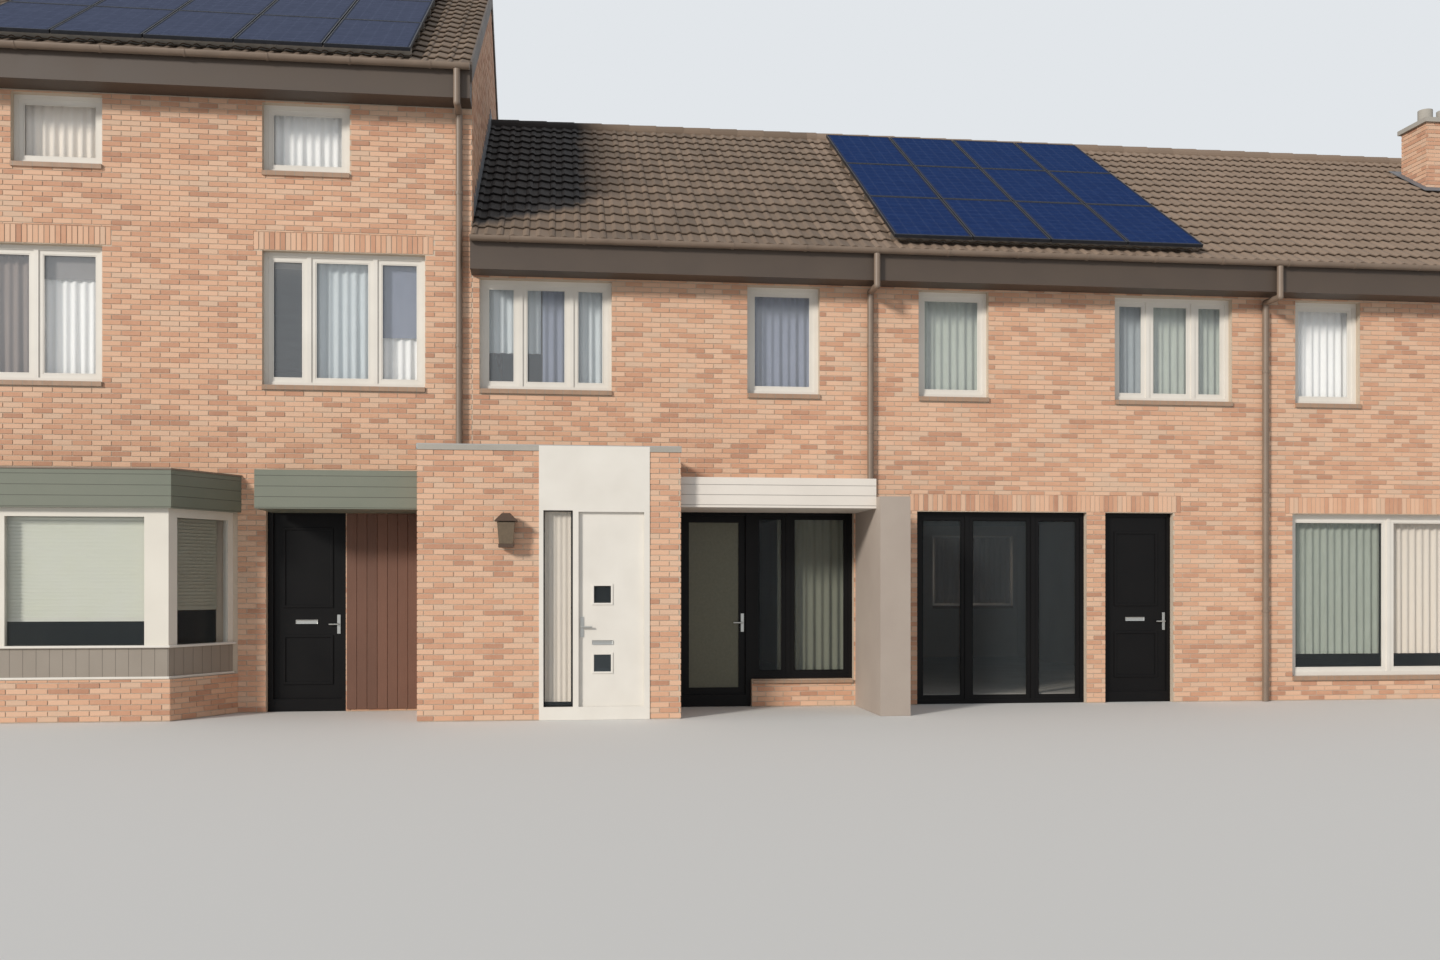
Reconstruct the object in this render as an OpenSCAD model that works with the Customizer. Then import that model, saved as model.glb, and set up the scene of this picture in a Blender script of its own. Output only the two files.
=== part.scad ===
// Row of four brick terraced houses: a taller one at the left end and three lower ones.
// The origin is on the ground, in the wall between the second and third house, under the ridge.
// +X runs along the row, the entrance side faces -Y, and +Z is up. All sizes are in millimetres.

/* [Row] */
// Width of each lower house between its party lines
house_w = 5100; // [4700:10:5600]
// Width of the taller house between its party lines
tall_house_w = 6200; // [5900:10:6800]
// Depth of the houses from front face to back face
house_depth = 8600; // [7600:100:9600]
// Height that the taller house has above the others
tall_rise = 2030; // [1850:10:2400]

/* [Walls and floors] */
// Thickness of the outer cavity walls
wall_t = 300; // [260:10:340]
// Thickness of the walls between the houses
party_t = 300; // [260:10:340]
// Top of the ground floor above the ground
ground_floor_z = 120; // [80:10:150]
// Height from one floor to the next
storey_h = 2730; // [2600:10:2900]
// Thickness of the upper floor slabs
slab_t = 200; // [150:10:240]
// Depth of the beams over the doorways, below the upper floor
lintel_d = 190; // [160:10:220]

/* [Roofs] */
// Slope of the roofs in degrees
roof_pitch = 32.5; // [28:0.5:37]
// Height of the roof's top face at the eaves of the lower houses
eaves_z = 5700; // [5500:10:6000]
// How far the roofs run out past the front and back walls
eaves_run = 330; // [260:10:420]
// Thickness of a roof, square to its slope
roof_t = 220; // [180:10:260]
// Length of each row of tiles that shows up the slope
row_gauge = 340; // [300:5:370]
// Height of a row's lower edge above the row under it
row_step = 28; // [20:1:36]
// Outer radius of the half-round ridge tiles
ridge_r = 120; // [100:5:140]
// Depth of the ridge tiles' centre line below the ridge
ridge_drop = 50; // [40:5:60]
// Thickness of the boards up the open edges of the roofs
verge_t = 24; // [18:1:32]
// Width of those boards, measured upright
verge_w = 250; // [200:10:300]
// Height of those boards' top edge above the roof
verge_over = 45; // [30:5:60]
// Depth of the boxed eaves below the roof's edge
eaves_drop = 400; // [360:10:440]
// Thickness of the board behind the gutter
fascia_t = 25; // [18:1:35]
// Thickness of the board under the eaves
soffit_t = 20; // [12:1:30]

/* [Rainwater] */
// Outer radius of the half-round gutters
gutter_r = 60; // [50:1:75]
// Wall thickness of the gutters
gutter_t = 4; // [3:0.5:6]
// Outer radius of the downpipes
pipe_r = 40; // [32:1:50]
// Space between a downpipe and the wall
pipe_gap = 25; // [15:1:40]

/* [Windows] */
// Height of the first floor windows of the lower houses
window_h = 1350; // [1200:10:1450]
// Space between a window's head and the eaves above it
head_gap = 30; // [10:5:80]
// Width of the wide windows of the lower houses
wide_w = 1610; // [1400:10:1750]
// Distance from the party line to the wide window
wide_off = 240; // [220:10:400]
// Width of the narrow windows
narrow_w = 920; // [800:10:1000]
// Distance from the other party line to the narrow window
narrow_off = 640; // [500:10:720]
// Height of the taller house's first floor windows
tall_window_h = 1610; // [1450:10:1700]
// Width of its larger first floor window
tall_wide_w = 1910; // [1700:10:2100]
// Distance from its right party line to that window
tall_wide_off = 410; // [300:10:460]
// Distance from its left party line to its other first floor window
tall_left_off = 450; // [350:10:550]
// Height of its second floor windows
top_window_h = 820; // [700:10:900]
// Width of its second floor windows
top_window_w = 1020; // [900:10:1150]
// Face width of the fixed window frame members
bar_w = 52; // [45:1:65]
// Depth of the window frames
frame_d = 70; // [55:1:90]
// Face width of the sash members inside the frames
sash_w = 46; // [38:1:55]
// How far the sashes lie behind the frame's faces
sash_drop = 14; // [8:1:20]
// How far the window frames sit behind the wall face
reveal = 90; // [60:5:120]
// Thickness of the panes
glass_t = 12; // [6:1:24]
// Thickness of the window sills
sill_t = 55; // [40:5:75]
// How far the window sills stand out of the wall
sill_out = 35; // [20:5:60]

/* [Bay window] */
// Width of the bay where it meets the house
bay_w = 3100; // [2800:10:3400]
// How far the bay stands out
bay_d = 900; // [800:10:1000]
// How far each splayed side runs along the row
splay_run = 520; // [420:10:640]
// Brick left between the bay and the doorway beside it
bay_gap = 325; // [250:5:400]
// Distance from the bay's outer corner to the edge of the opening behind it
bay_jamb = 250; // [235:5:320]
// Height of the brick wall under the bay
bay_wall_h = 470; // [400:10:550]
// Thickness of the bay's brick wall
bay_wall_t = 200; // [180:5:215]
// Height of the bay's boarded panel above the brick
bay_panel_h = 380; // [300:10:420]
// Width of the white corner boards on the bay's front
bay_post_w = 290; // [200:10:340]
// Drop of the bay's head below the beams over the doorways
bay_head_drop = 70; // [40:5:100]
// Height of the edge of the bay's flat roof
bay_edge_h = 440; // [380:10:480]
// How far the bay's roof overhangs its wall
bay_lip = 40; // [20:5:60]

/* [Entrances] */
// Width of a dark door with its frame
door_unit_w = 930; // [900:10:1020]
// Distance from the right party line to the taller house's doorway
door_1_off = 1345; // [1250:5:1450]
// How far the entrance hall and its porch stand out
hall_d = 1300; // [1200:10:1500]
// Width of the entrance hall from the party line to its right side
hall_w = 2580; // [2400:10:2800]
// How far the hall's left side stands past the party line
hall_left_out = 360; // [320:10:400]
// Height of the hall's walls above the beams over the doorways
hall_rise = 580; // [500:10:640]
// Height of the hall's roof edge
hall_edge_h = 60; // [45:5:80]
// How far the hall's roof edge stands out
hall_lip = 15; // [8:1:25]
// Thickness of the hall's roof between its walls
hall_roof_t = 220; // [180:10:260]
// Width of the white entrance with its side light
entrance_w = 1250; // [1200:10:1370]
// Width of the side light's pane
side_light_w = 330; // [280:10:360]
// Height of the white door with its frame
door_2_h = 2420; // [2300:10:2600]
// Width of the hall's right wall
hall_pier_w = 350; // [320:10:380]

/* [Door leaves] */
// Thickness of the door leaves
leaf_t = 44; // [38:1:54]
// Space between a door leaf and its frame
leaf_gap = 6; // [5.5:0.5:8]
// Face width of the door frame members
door_bar = 50; // [45:1:60]
// Width of the stop that a leaf closes against
stop_w = 14; // [10:1:18]
// Thickness of that stop
stop_t = 40; // [30:1:50]
// Height of the sill under a door above the ground floor
threshold_rise = 15; // [10:1:20]
// Radius of the hinge knuckles
knuckle_r = 7; // [6:0.5:7.5]
// Length of one hinge knuckle
knuckle_h = 50; // [40:1:60]
// Size of the square light in the white door
light_s = 200; // [150:10:250]
// Height of that light's middle above the ground
light_z = 1420; // [1350:10:1500]
// Distance of that light from the leaf's middle, towards the lock side
light_shift = 95; // [60:5:120]
// Width of the glazed door's stiles and rails
stile_w = 95; // [85:1:110]
// Height of the door handles above the ground
handle_z = 1050; // [1000:10:1150]
// How far a handle stands out of its door
handle_out = 45; // [35:1:48]

/* [Porch] */
// Distance from the hall to the glazed front behind the porch
glazing_gap = 90; // [70:5:120]
// Distance from the party line to the glazed front
glazing_off = 200; // [190:5:240]
// Height of the brick wall under the porch window
glazing_sill_z = 340; // [300:10:450]
// Drop of the canopy below the beams over the doorways
porch_drop = 30; // [20:5:60]
// Height of the canopy's edge
porch_edge_h = 350; // [300:10:400]
// How far the canopy's front stays behind the hall's front
porch_setback = 200; // [100:10:300]
// Thickness of the wall beside the porch
porch_wall_t = 360; // [320:10:400]
// Height of that wall above the canopy's underside
porch_wall_rise = 130; // [100:10:200]

/* [Third and last house] */
// Distance from the party line to the third house's dark glazing
garden_off = 620; // [500:10:700]
// Width of that glazing
garden_w = 2250; // [2000:10:2400]
// Brick between that glazing and the front door
door_3_gap = 250; // [200:10:350]
// Distance from the party line to the last house's large window
large_window_off = 600; // [500:10:700]
// Sill height of the large window
large_sill_z = 320; // [280:10:400]
// Brick between the large window and the door beside it
large_window_pier = 480; // [400:10:560]
// Distance from the row's right party line to the last house's front door
door_4_off = 340; // [300:10:420]

/* [Solar panels] */
// Width of one solar panel
panel_w = 1000; // [900:10:1100]
// Length of one solar panel up the slope
panel_l = 1650; // [1500:10:1700]
// Thickness of a solar panel
panel_t = 40; // [30:1:50]
// Height of the rails under the panels
rail_h = 100; // [80:5:140]
// Width of a rail
rail_w = 40; // [30:1:50]
// Space between neighbouring panels
panel_gap = 20; // [10:1:30]
// Distance from the roof's edge to the lowest panels
panel_foot = 150; // [100:10:200]
// Distance from the party lines to the third house's panels
panel_side = 260; // [200:10:350]

/* [Chimney] */
// Width of the chimney along the row
chimney_w = 700; // [550:10:800]
// Size of the chimney across the ridge
chimney_d = 600; // [500:10:700]
// Distance of the chimney's middle in front of the ridge
chimney_y = 1150; // [1000:10:1300]
// Height of the chimney's top above the ridge
chimney_over = 150; // [100:10:300]
// Thickness of the slab on the chimney
cap_t = 70; // [50:5:100]
// Overhang of the slab on the chimney
cap_lip = 50; // [30:5:70]
// Radius of the flue pots
pot_r = 110; // [90:5:130]
// Height of the flue pots
pot_h = 260; // [200:10:320]

/* [Hidden] */
$fn = 48;

// Overshoot of cutting shapes, and the space under what is seated on a slope or a pin
cut = 20;
seat = 0.3;

half_depth = house_depth / 2;
front_y = -half_depth;
half_party = party_t / 2;

// Party lines from left to right
line_1 = -house_w - tall_house_w;
line_2 = -house_w;
line_3 = 0;
line_4 = house_w;
line_5 = 2 * house_w;

// Roof heights
slope = tan(roof_pitch);
roof_v = roof_t / cos(roof_pitch);
roof_edge_y = half_depth + eaves_run;
tall_eaves_z = eaves_z + tall_rise;
ridge_z = eaves_z + roof_edge_y * slope;

// Floor and head heights
first_floor_z = ground_floor_z + storey_h;
second_floor_z = first_floor_z + storey_h;
lintel_z = first_floor_z - slab_t - lintel_d;
bay_head_z = lintel_z - bay_head_drop;
canopy_z = lintel_z - porch_drop;
window_head_z = eaves_z - eaves_drop - head_gap;
sill_z = window_head_z - window_h;
top_sill_z = window_head_z + tall_rise - top_window_h;

brick = [0.80, 0.64, 0.52];
tile_brown = [0.41, 0.35, 0.29];
board_brown = [0.30, 0.26, 0.23];
white = [0.90, 0.89, 0.86];
dark = [0.14, 0.14, 0.13];
green_grey = [0.48, 0.48, 0.43];
pane = [0.55, 0.62, 0.66, 0.45];
concrete = [0.70, 0.68, 0.64];
render_grey = [0.58, 0.53, 0.48];

// Top and underside of a roof at a distance from the ridge line
function roof_top(y, edge_z) = edge_z + (roof_edge_y - abs(y)) * slope;
function roof_under(y, edge_z) = roof_top(y, edge_z) - roof_v;

// Box from its low corner and its high corner
module span(lo, hi) translate(lo) cube(hi - lo);

// Runs a profile drawn in Y and Z along X from x0 to x1
module along(x0, x1)
  translate([x0, 0, 0]) rotate([90, 0, 90]) linear_extrude(x1 - x0) children();

// Turns its children over to the back of the row
module at_back() mirror([0, 1, 0]) children();

// Turns its children over about a line across the row
module flipped(x) translate([2 * x, 0, 0]) mirror([1, 0, 0]) children();

// Windows as [left x, sill z, width, height, list of pane shares]
one_pane = [1];
two_panes = [0.52, 0.48];
three_panes = [0.3, 0.4, 0.3];
tall_panes = [0.27, 0.42, 0.31];
porch_panes = [0.36, 0.64];

function reverse(v) = [for (i = [len(v) - 1 : -1 : 0]) v[i]];
// A window at a distance to the right of a line, or to the left of it
function right_of(x, z, w, h, panes) = [x, z, w, h, panes];
function left_of(x, z, w, h, panes) = [x - w, z, w, h, reverse(panes)];
// First floor windows of a lower house from its narrow window's line and its wide window's line
function low_windows(narrow_line, wide_line) = narrow_line < wide_line
  ? [right_of(narrow_line + narrow_off, sill_z, narrow_w, window_h, one_pane),
     left_of(wide_line - wide_off, sill_z, wide_w, window_h, three_panes)]
  : [left_of(narrow_line - narrow_off, sill_z, narrow_w, window_h, one_pane),
     right_of(wide_line + wide_off, sill_z, wide_w, window_h, three_panes)];

tall_wide_x = line_2 - tall_wide_off - tall_wide_w;
tall_left_x = line_1 + tall_left_off;
upper_1 = [
  right_of(tall_wide_x, sill_z, tall_wide_w, tall_window_h, tall_panes),
  right_of(tall_left_x, sill_z, wide_w, tall_window_h, two_panes),
  right_of(tall_wide_x, top_sill_z, top_window_w, top_window_h, one_pane),
  left_of(tall_left_x + wide_w, top_sill_z, top_window_w, top_window_h, one_pane)
];
upper_2 = low_windows(line_3, line_2);
upper_3 = low_windows(line_3, line_4);
upper_4 = low_windows(line_4, line_5);

// Fixed front doors
garden_x0 = line_3 + garden_off;
garden_x1 = garden_x0 + garden_w;
door_3_x = garden_x1 + door_3_gap;
door_4_x = line_5 - door_4_off - door_unit_w;

large_window_x = line_4 + large_window_off;
ground_4 = [right_of(large_window_x, large_sill_z, door_4_x - large_window_pier - large_window_x,
                     lintel_z - large_sill_z, two_panes)];

// The back repeats the upper storeys, with a wide window and a door below
function back_low(wide_line) = wide_line == line_2
  ? right_of(wide_line + wide_off, lintel_z - window_h, wide_w, window_h, three_panes)
  : left_of(wide_line - wide_off, lintel_z - window_h, wide_w, window_h, three_panes);
back_ground = [
  right_of(tall_left_x, lintel_z - window_h, wide_w, window_h, two_panes),
  back_low(line_2), back_low(line_4), back_low(line_5)
];
back_doors = [
  line_2 - tall_wide_off - door_unit_w, line_3 - narrow_off - door_unit_w,
  line_3 + narrow_off, line_4 + narrow_off
];
upper_windows = concat(upper_1, upper_2, upper_3, upper_4);
front_windows = concat(upper_windows, ground_4);
back_windows = concat(upper_windows, back_ground);

// Entrance hall and porch
hall_y = front_y - hall_d;
hall_left = line_2 - hall_left_out;
hall_right = line_2 + hall_w;
hall_wall_z = lintel_z + hall_rise;
hall_top_z = hall_wall_z + hall_edge_h;
entrance_x1 = hall_right - hall_pier_w;
entrance_x0 = entrance_x1 - entrance_w;
entrance_y = hall_y - hall_lip;
glazing_x0 = hall_right + glazing_gap;
glazing_x1 = line_3 - glazing_off;
porch_wall_x0 = line_3 - porch_wall_t / 2;
porch_wall_z = canopy_z + porch_wall_rise;

// Doorway and bay of the taller house
door_1_x1 = line_2 - door_1_off;
door_1_x0 = door_1_x1 - door_unit_w;
bay_x1 = door_1_x0 - bay_gap;
bay_x0 = bay_x1 - bay_w;
canopy_1_x0 = door_1_x0 + 1.5 * door_bar;

// Door and frame depths
frame_depth = stop_t + leaf_gap + leaf_t;
threshold_h = ground_floor_z + threshold_rise;
door_y = front_y + reveal;

// Raised edge of the flat roofs
deck_drop = 60;
edge_t = 40;

// Walls

module window_cut(w)
  translate([w[0], front_y - cut, w[1] - sill_t]) cube([w[2], wall_t + 2 * cut, w[3] + sill_t]);

module door_cut(x0, x1)
  translate([x0, front_y - cut, -cut]) cube([x1 - x0, wall_t + 2 * cut, lintel_z + cut]);

// A wall whose top follows the underside of the roof
module sloped_wall(x0, x1, z0, edge_z)
  along(x0 + half_party, x1 - half_party)
    polygon([
      [front_y, z0],
      [front_y + wall_t, z0],
      [front_y + wall_t, roof_under(half_depth - wall_t, edge_z)],
      [front_y, roof_under(half_depth, edge_z)]
    ]);

// Party walls follow the underside of the roof on both slopes
module party_wall(line, edge_z)
  along(line - half_party, line + half_party)
    polygon([
      [-half_depth, 0],
      [half_depth, 0],
      [half_depth, roof_under(half_depth, edge_z)],
      [0, roof_under(0, edge_z)],
      [-half_depth, roof_under(half_depth, edge_z)]
    ]);

module party_walls() color(brick) {
  for (line = [line_1, line_2]) party_wall(line, tall_eaves_z);
  for (line = [line_3, line_4, line_5]) party_wall(line, eaves_z);
}

module front_wall_1() color(brick)
  difference() {
    sloped_wall(line_1, line_2, lintel_z, tall_eaves_z);
    for (w = upper_1) window_cut(w);
  }

module front_wall_2() color(brick)
  difference() {
    sloped_wall(line_2, line_3, lintel_z, eaves_z);
    for (w = upper_2) window_cut(w);
  }

module front_wall_3() color(brick)
  difference() {
    sloped_wall(line_3, line_4, 0, eaves_z);
    for (w = upper_3) window_cut(w);
    door_cut(garden_x0, garden_x1);
    door_cut(door_3_x, door_3_x + door_unit_w);
  }

module front_wall_4() color(brick)
  difference() {
    sloped_wall(line_4, line_5, 0, eaves_z);
    for (w = concat(upper_4, ground_4)) window_cut(w);
    door_cut(door_4_x, door_4_x + door_unit_w);
  }

// Ground floor piers between the doorways of the first two houses
module pier(x0, x1, top) span([x0, front_y, 0], [x1, front_y + wall_t, top]);

module front_piers() color(brick) {
  pier(line_1 + half_party, bay_x0 + bay_jamb, lintel_z);
  pier(bay_x1 - bay_jamb, door_1_x0, lintel_z);
  pier(door_1_x1, line_2 - half_party, lintel_z);
  pier(entrance_x1, glazing_x0, lintel_z);
  pier(glazing_x0 + door_unit_w, glazing_x1, glazing_sill_z);
  pier(glazing_x1, line_3 - half_party, lintel_z);
}

module back_walls() color(brick)
  at_back() difference() {
    union() {
      sloped_wall(line_1, line_2, 0, tall_eaves_z);
      for (x = [line_2, line_3, line_4]) sloped_wall(x, x + house_w, 0, eaves_z);
    }
    for (w = back_windows) window_cut(w);
    for (x = back_doors) door_cut(x, x + door_unit_w);
  }

// Floors

module floor_slab(x0, x1, top, t)
  span([x0 + half_party, front_y + wall_t, top - t], [x1 - half_party, -front_y - wall_t, top]);

// Strip of ground floor that runs into a doorway, up to the door or glazing
module doorway_strip(x0, x1, depth)
  span([x0, front_y + reveal + depth, 0], [x1, front_y + wall_t, ground_floor_z]);

module ground_floors() color(concrete) {
  floor_slab(line_1, line_2, ground_floor_z, ground_floor_z);
  for (x = [line_2, line_3, line_4]) floor_slab(x, x + house_w, ground_floor_z, ground_floor_z);
  doorway_strip(garden_x0, garden_x1, frame_d);
  for (x = [door_1_x0, glazing_x0, door_3_x, door_4_x]) doorway_strip(x, x + door_unit_w, frame_depth);
  at_back() for (x = back_doors) doorway_strip(x, x + door_unit_w, frame_depth);
}

module upper_floors() color(concrete) {
  for (z = [first_floor_z, second_floor_z]) floor_slab(line_1, line_2, z, slab_t);
  for (x = [line_2, line_3, line_4]) floor_slab(x, x + house_w, first_floor_z, slab_t);
}

module hall_and_bay_floors() color(concrete) {
  span([hall_left + wall_t, hall_y + wall_t, 0], [entrance_x1, front_y, ground_floor_z]);
  span([line_2 + half_party, front_y, 0], [entrance_x1, front_y + wall_t, ground_floor_z]);
  span([entrance_x0, entrance_y + frame_depth, 0], [entrance_x1, hall_y + wall_t, ground_floor_z]);
  linear_extrude(ground_floor_z) bay_plan(bay_wall_t);
  span([bay_x0 + bay_jamb, front_y, 0], [bay_x1 - bay_jamb, front_y + wall_t, ground_floor_z]);
}

// Roofs, eaves and rainwater

slope_l = roof_edge_y / cos(roof_pitch);
tile_rows = round(slope_l / row_gauge);
row_l = slope_l / tile_rows;

// Point on the front slope, up from the eaves by s and off the roof by d
function slope_point(s, d, edge_z) =
  [-roof_edge_y + s * cos(roof_pitch) - d * sin(roof_pitch),
   edge_z + s * sin(roof_pitch) + d * cos(roof_pitch)];

// Top of the front slope: every row of tiles starts on the plane of the roof and sinks below it
function rows_top(edge_z) = [
  for (i = [0 : tile_rows - 1])
    each [slope_point(i * row_l, 0, edge_z),
          if (i < tile_rows - 1) slope_point((i + 1) * row_l, -row_step, edge_z)]
];

module roof_outline(edge_z)
  polygon(concat(
    [[roof_edge_y, roof_under(roof_edge_y, edge_z)], [0, roof_under(0, edge_z)],
     [-roof_edge_y, roof_under(roof_edge_y, edge_z)]],
    rows_top(edge_z),
    [[0, roof_top(0, edge_z) - row_step / cos(roof_pitch)]],
    [for (p = reverse(rows_top(edge_z))) [-p[0], p[1]]]
  ));

module roof(x0, x1, edge_z) color(tile_brown)
  along(x0, x1) roof_outline(edge_z);

module roof_1() roof(line_1 - half_party, line_2 + half_party, tall_eaves_z);
module roof_2() roof(line_2 + half_party, line_3, eaves_z);
module roof_3() roof(line_3, line_4, eaves_z);
module roof_4() roof(line_4, line_5 + half_party, eaves_z);

// Half-round ridge tiles over the top rows of both slopes
module ridge_cap(x0, x1, edge_z)
  along(x0, x1) difference() {
    translate([0, roof_top(0, edge_z) - ridge_drop]) circle(ridge_r);
    translate([0, seat]) roof_outline(edge_z);
  }

module ridge_caps() color(tile_brown) {
  ridge_cap(line_1 - half_party, line_2 + half_party, tall_eaves_z);
  ridge_cap(line_2 + half_party, line_5 + half_party, eaves_z);
}

// Boards up the open edges of the roofs
module verge(x, edge_z)
  along(x, x + verge_t)
    for (end = [-1, 1])
      polygon([
        [0, roof_top(0, edge_z) + verge_over - verge_w],
        [end * roof_edge_y, edge_z + verge_over - verge_w],
        [end * roof_edge_y, edge_z + verge_over],
        [0, roof_top(0, edge_z) + verge_over]
      ]);

module verge_boards() color(board_brown) {
  verge(line_1 - half_party - verge_t, tall_eaves_z);
  verge(line_2 + half_party, tall_eaves_z);
  verge(line_5 + half_party, eaves_z);
}

// Boxed eaves: a board on edge behind the gutter and a board underneath
module eaves_box(x0, x1, edge_z, capped) {
  soffit_z = edge_z - eaves_drop;
  board_top = edge_z - soffit_t;
  along(x0, x1)
    polygon([
      [-roof_edge_y - fascia_t, soffit_z],
      [front_y, soffit_z],
      [front_y, soffit_z + soffit_t],
      [-roof_edge_y, soffit_z + soffit_t],
      [-roof_edge_y, board_top],
      [-roof_edge_y - fascia_t, board_top]
    ]);
  // End boards close the box where no wall does
  for (x = capped) along(x, x + fascia_t)
    polygon([
      [-roof_edge_y - fascia_t, soffit_z],
      [front_y, soffit_z],
      [front_y, roof_under(half_depth, edge_z)],
      [-roof_edge_y, roof_under(roof_edge_y, edge_z)],
      [-roof_edge_y, board_top],
      [-roof_edge_y - fascia_t, board_top]
    ]);
}

module both_eaves() {
  x0 = line_1 - half_party;
  x1 = line_2 + half_party;
  x2 = line_5 + half_party;
  eaves_box(x0, x1, tall_eaves_z, [x0, x1 - fascia_t]);
  eaves_box(x1, x2, eaves_z, [x2 - fascia_t]);
}

module eaves_boards() color(board_brown) {
  both_eaves();
  at_back() both_eaves();
}

module gutter_profile(bore) difference() {
  circle(gutter_r);
  circle(bore);
  translate([-gutter_r - cut, 0]) square([2 * (gutter_r + cut), gutter_r + cut]);
}

// Half-round gutter with closed ends
module gutter(x0, x1, edge_z)
  translate([0, -roof_edge_y - fascia_t - gutter_r, edge_z - soffit_t - gutter_t]) {
    along(x0, x1) gutter_profile(gutter_r - gutter_t);
    for (x = [x0, x1 - gutter_t]) along(x, x + gutter_t) gutter_profile(0);
  }

module both_gutters() {
  gutter(line_1 - half_party, line_2 + half_party, tall_eaves_z);
  gutter(line_2 + half_party, line_5 + half_party, eaves_z);
}

module gutters() color(board_brown) {
  both_gutters();
  at_back() both_gutters();
}

// Downpipe against the wall, with a leg that leads to it from the gutter
module downpipe(x, edge_z, foot_z) {
  pipe_y = front_y - pipe_gap - pipe_r;
  outlet_y = -roof_edge_y - fascia_t - gutter_r;
  outlet_z = edge_z - soffit_t - gutter_t - gutter_r;
  knee_z = edge_z - eaves_drop - 2 * pipe_r;
  translate([x, pipe_y, foot_z]) cylinder(r = pipe_r, h = knee_z - foot_z);
  for (y = [pipe_y, outlet_y]) translate([x, y, knee_z]) sphere(pipe_r);
  translate([x, outlet_y, knee_z]) rotate([-90, 0, 0]) cylinder(r = pipe_r, h = pipe_y - outlet_y);
  translate([x, outlet_y, knee_z]) cylinder(r = pipe_r, h = outlet_z - knee_z);
}

module downpipes() color(board_brown) {
  downpipe(line_2, tall_eaves_z, hall_top_z - deck_drop / 2);
  downpipe(line_3, eaves_z, porch_wall_z);
  downpipe(line_4 + half_party + pipe_r, eaves_z, 0);
  at_back() {
    downpipe(line_2 - half_party, tall_eaves_z, 0);
    for (x = [line_3, line_5 - half_party]) downpipe(x, eaves_z, 0);
  }
}

// Windows

function share_sum(v, n) = n == 0 ? 0 : v[n - 1] + share_sum(v, n - 1);
// Left edge and width of the sash at place i
function sash_x(w, i) = w[0] + bar_w + (w[2] - bar_w) * share_sum(w[4], i);
function sash_width(w, i) = (w[2] - bar_w) * w[4][i] - bar_w;

// The sashes of a window, or with an inset its panes, between two depths
module sashes(w, y0, y1, inset)
  for (i = [0 : len(w[4]) - 1])
    span([sash_x(w, i) + inset, y0, w[1] + bar_w + inset],
         [sash_x(w, i) + sash_width(w, i) - inset, y1, w[1] + w[3] - bar_w - inset]);

module window_frame(w) {
  y0 = front_y + reveal;
  y1 = y0 + frame_d;
  difference() {
    span([w[0], y0, w[1]], [w[0] + w[2], y1, w[1] + w[3]]);
    sashes(w, y0 - cut, y0 + sash_drop, 0);
    sashes(w, y1 - sash_drop, y1 + cut, 0);
    sashes(w, y0, y1, sash_w);
  }
}

module window_pane(w) {
  y0 = front_y + reveal + (frame_d - glass_t) / 2;
  sashes(w, y0, y0 + glass_t, sash_w);
}

module window_sill(w)
  span([w[0], front_y - sill_out, w[1] - sill_t], [w[0] + w[2], front_y + wall_t, w[1]]);

module window_frames() color(white) {
  for (w = front_windows) window_frame(w);
  at_back() for (w = back_windows) window_frame(w);
}

module window_glass() color(pane) {
  for (w = concat(front_windows, dark_windows)) window_pane(w);
  at_back() for (w = back_windows) window_pane(w);
  side_light_pane();
}

module window_sills() color(concrete) {
  for (w = front_windows) window_sill(w);
  at_back() for (w = back_windows) window_sill(w);
}

// Bay window: every part of it follows one trapezium, drawn in or out by an inset

splay_l = norm([splay_run, bay_d]);
function splay_x(inset, y) = inset * splay_l / bay_d + splay_run * (y - inset) / bay_d;

module bay_plan(inset)
  polygon([
    [bay_x0 + inset * splay_l / bay_d, front_y],
    [bay_x0 + splay_x(inset, bay_d), front_y - bay_d + inset],
    [bay_x1 - splay_x(inset, bay_d), front_y - bay_d + inset],
    [bay_x1 - inset * splay_l / bay_d, front_y]
  ]);

module bay_ring(z0, z1, outer, inner)
  translate([0, 0, z0]) linear_extrude(z1 - z0) difference() {
    bay_plan(outer);
    bay_plan(inner);
  }

// The frame stands a little behind the brick wall's face
bay_frame_in = 50;
bay_glass_in = bay_frame_in + (frame_d - glass_t) / 2;
bay_sill_z = bay_wall_h + bay_panel_h;
bay_top_z = bay_head_z - bar_w - sash_w;
splay_post = 110;

module bay_wall() color(brick) bay_ring(0, bay_wall_h, 0, bay_wall_t);

// Cuts a light in the left splay, measured along it from the house
module splay_light(z0, z1)
  translate([bay_x0, front_y, z0])
    rotate([0, 0, -atan2(bay_d, splay_run)])
      translate([splay_post, -cut, 0])
        cube([splay_l - 2.4 * splay_post, bay_wall_t + 2 * cut, z1 - z0]);

module bay_lights(z0, z1) {
  span([bay_x0 + splay_run + bay_post_w, front_y - bay_d - cut, z0],
       [bay_x1 - splay_run - bay_post_w, front_y - bay_d + bay_wall_t, z1]);
  splay_light(z0, z1);
  flipped((bay_x0 + bay_x1) / 2) splay_light(z0, z1);
}

module bay_frame() color(white)
  difference() {
    bay_ring(bay_wall_h, bay_head_z, bay_frame_in, bay_frame_in + frame_d);
    bay_lights(bay_sill_z, bay_top_z);
  }

module bay_glass() color(pane)
  intersection() {
    bay_ring(bay_sill_z, bay_top_z, bay_glass_in, bay_glass_in + glass_t);
    bay_lights(bay_sill_z, bay_top_z);
  }

// Flat roofs: the deck lies lower than the edge, which stops at the house wall

module bay_roof() color(green_grey)
  difference() {
    translate([0, 0, bay_head_z]) linear_extrude(bay_edge_h) bay_plan(-bay_lip);
    translate([0, 0, bay_head_z + bay_edge_h - deck_drop])
      linear_extrude(deck_drop + cut) bay_plan(edge_t - bay_lip);
  }

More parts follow.
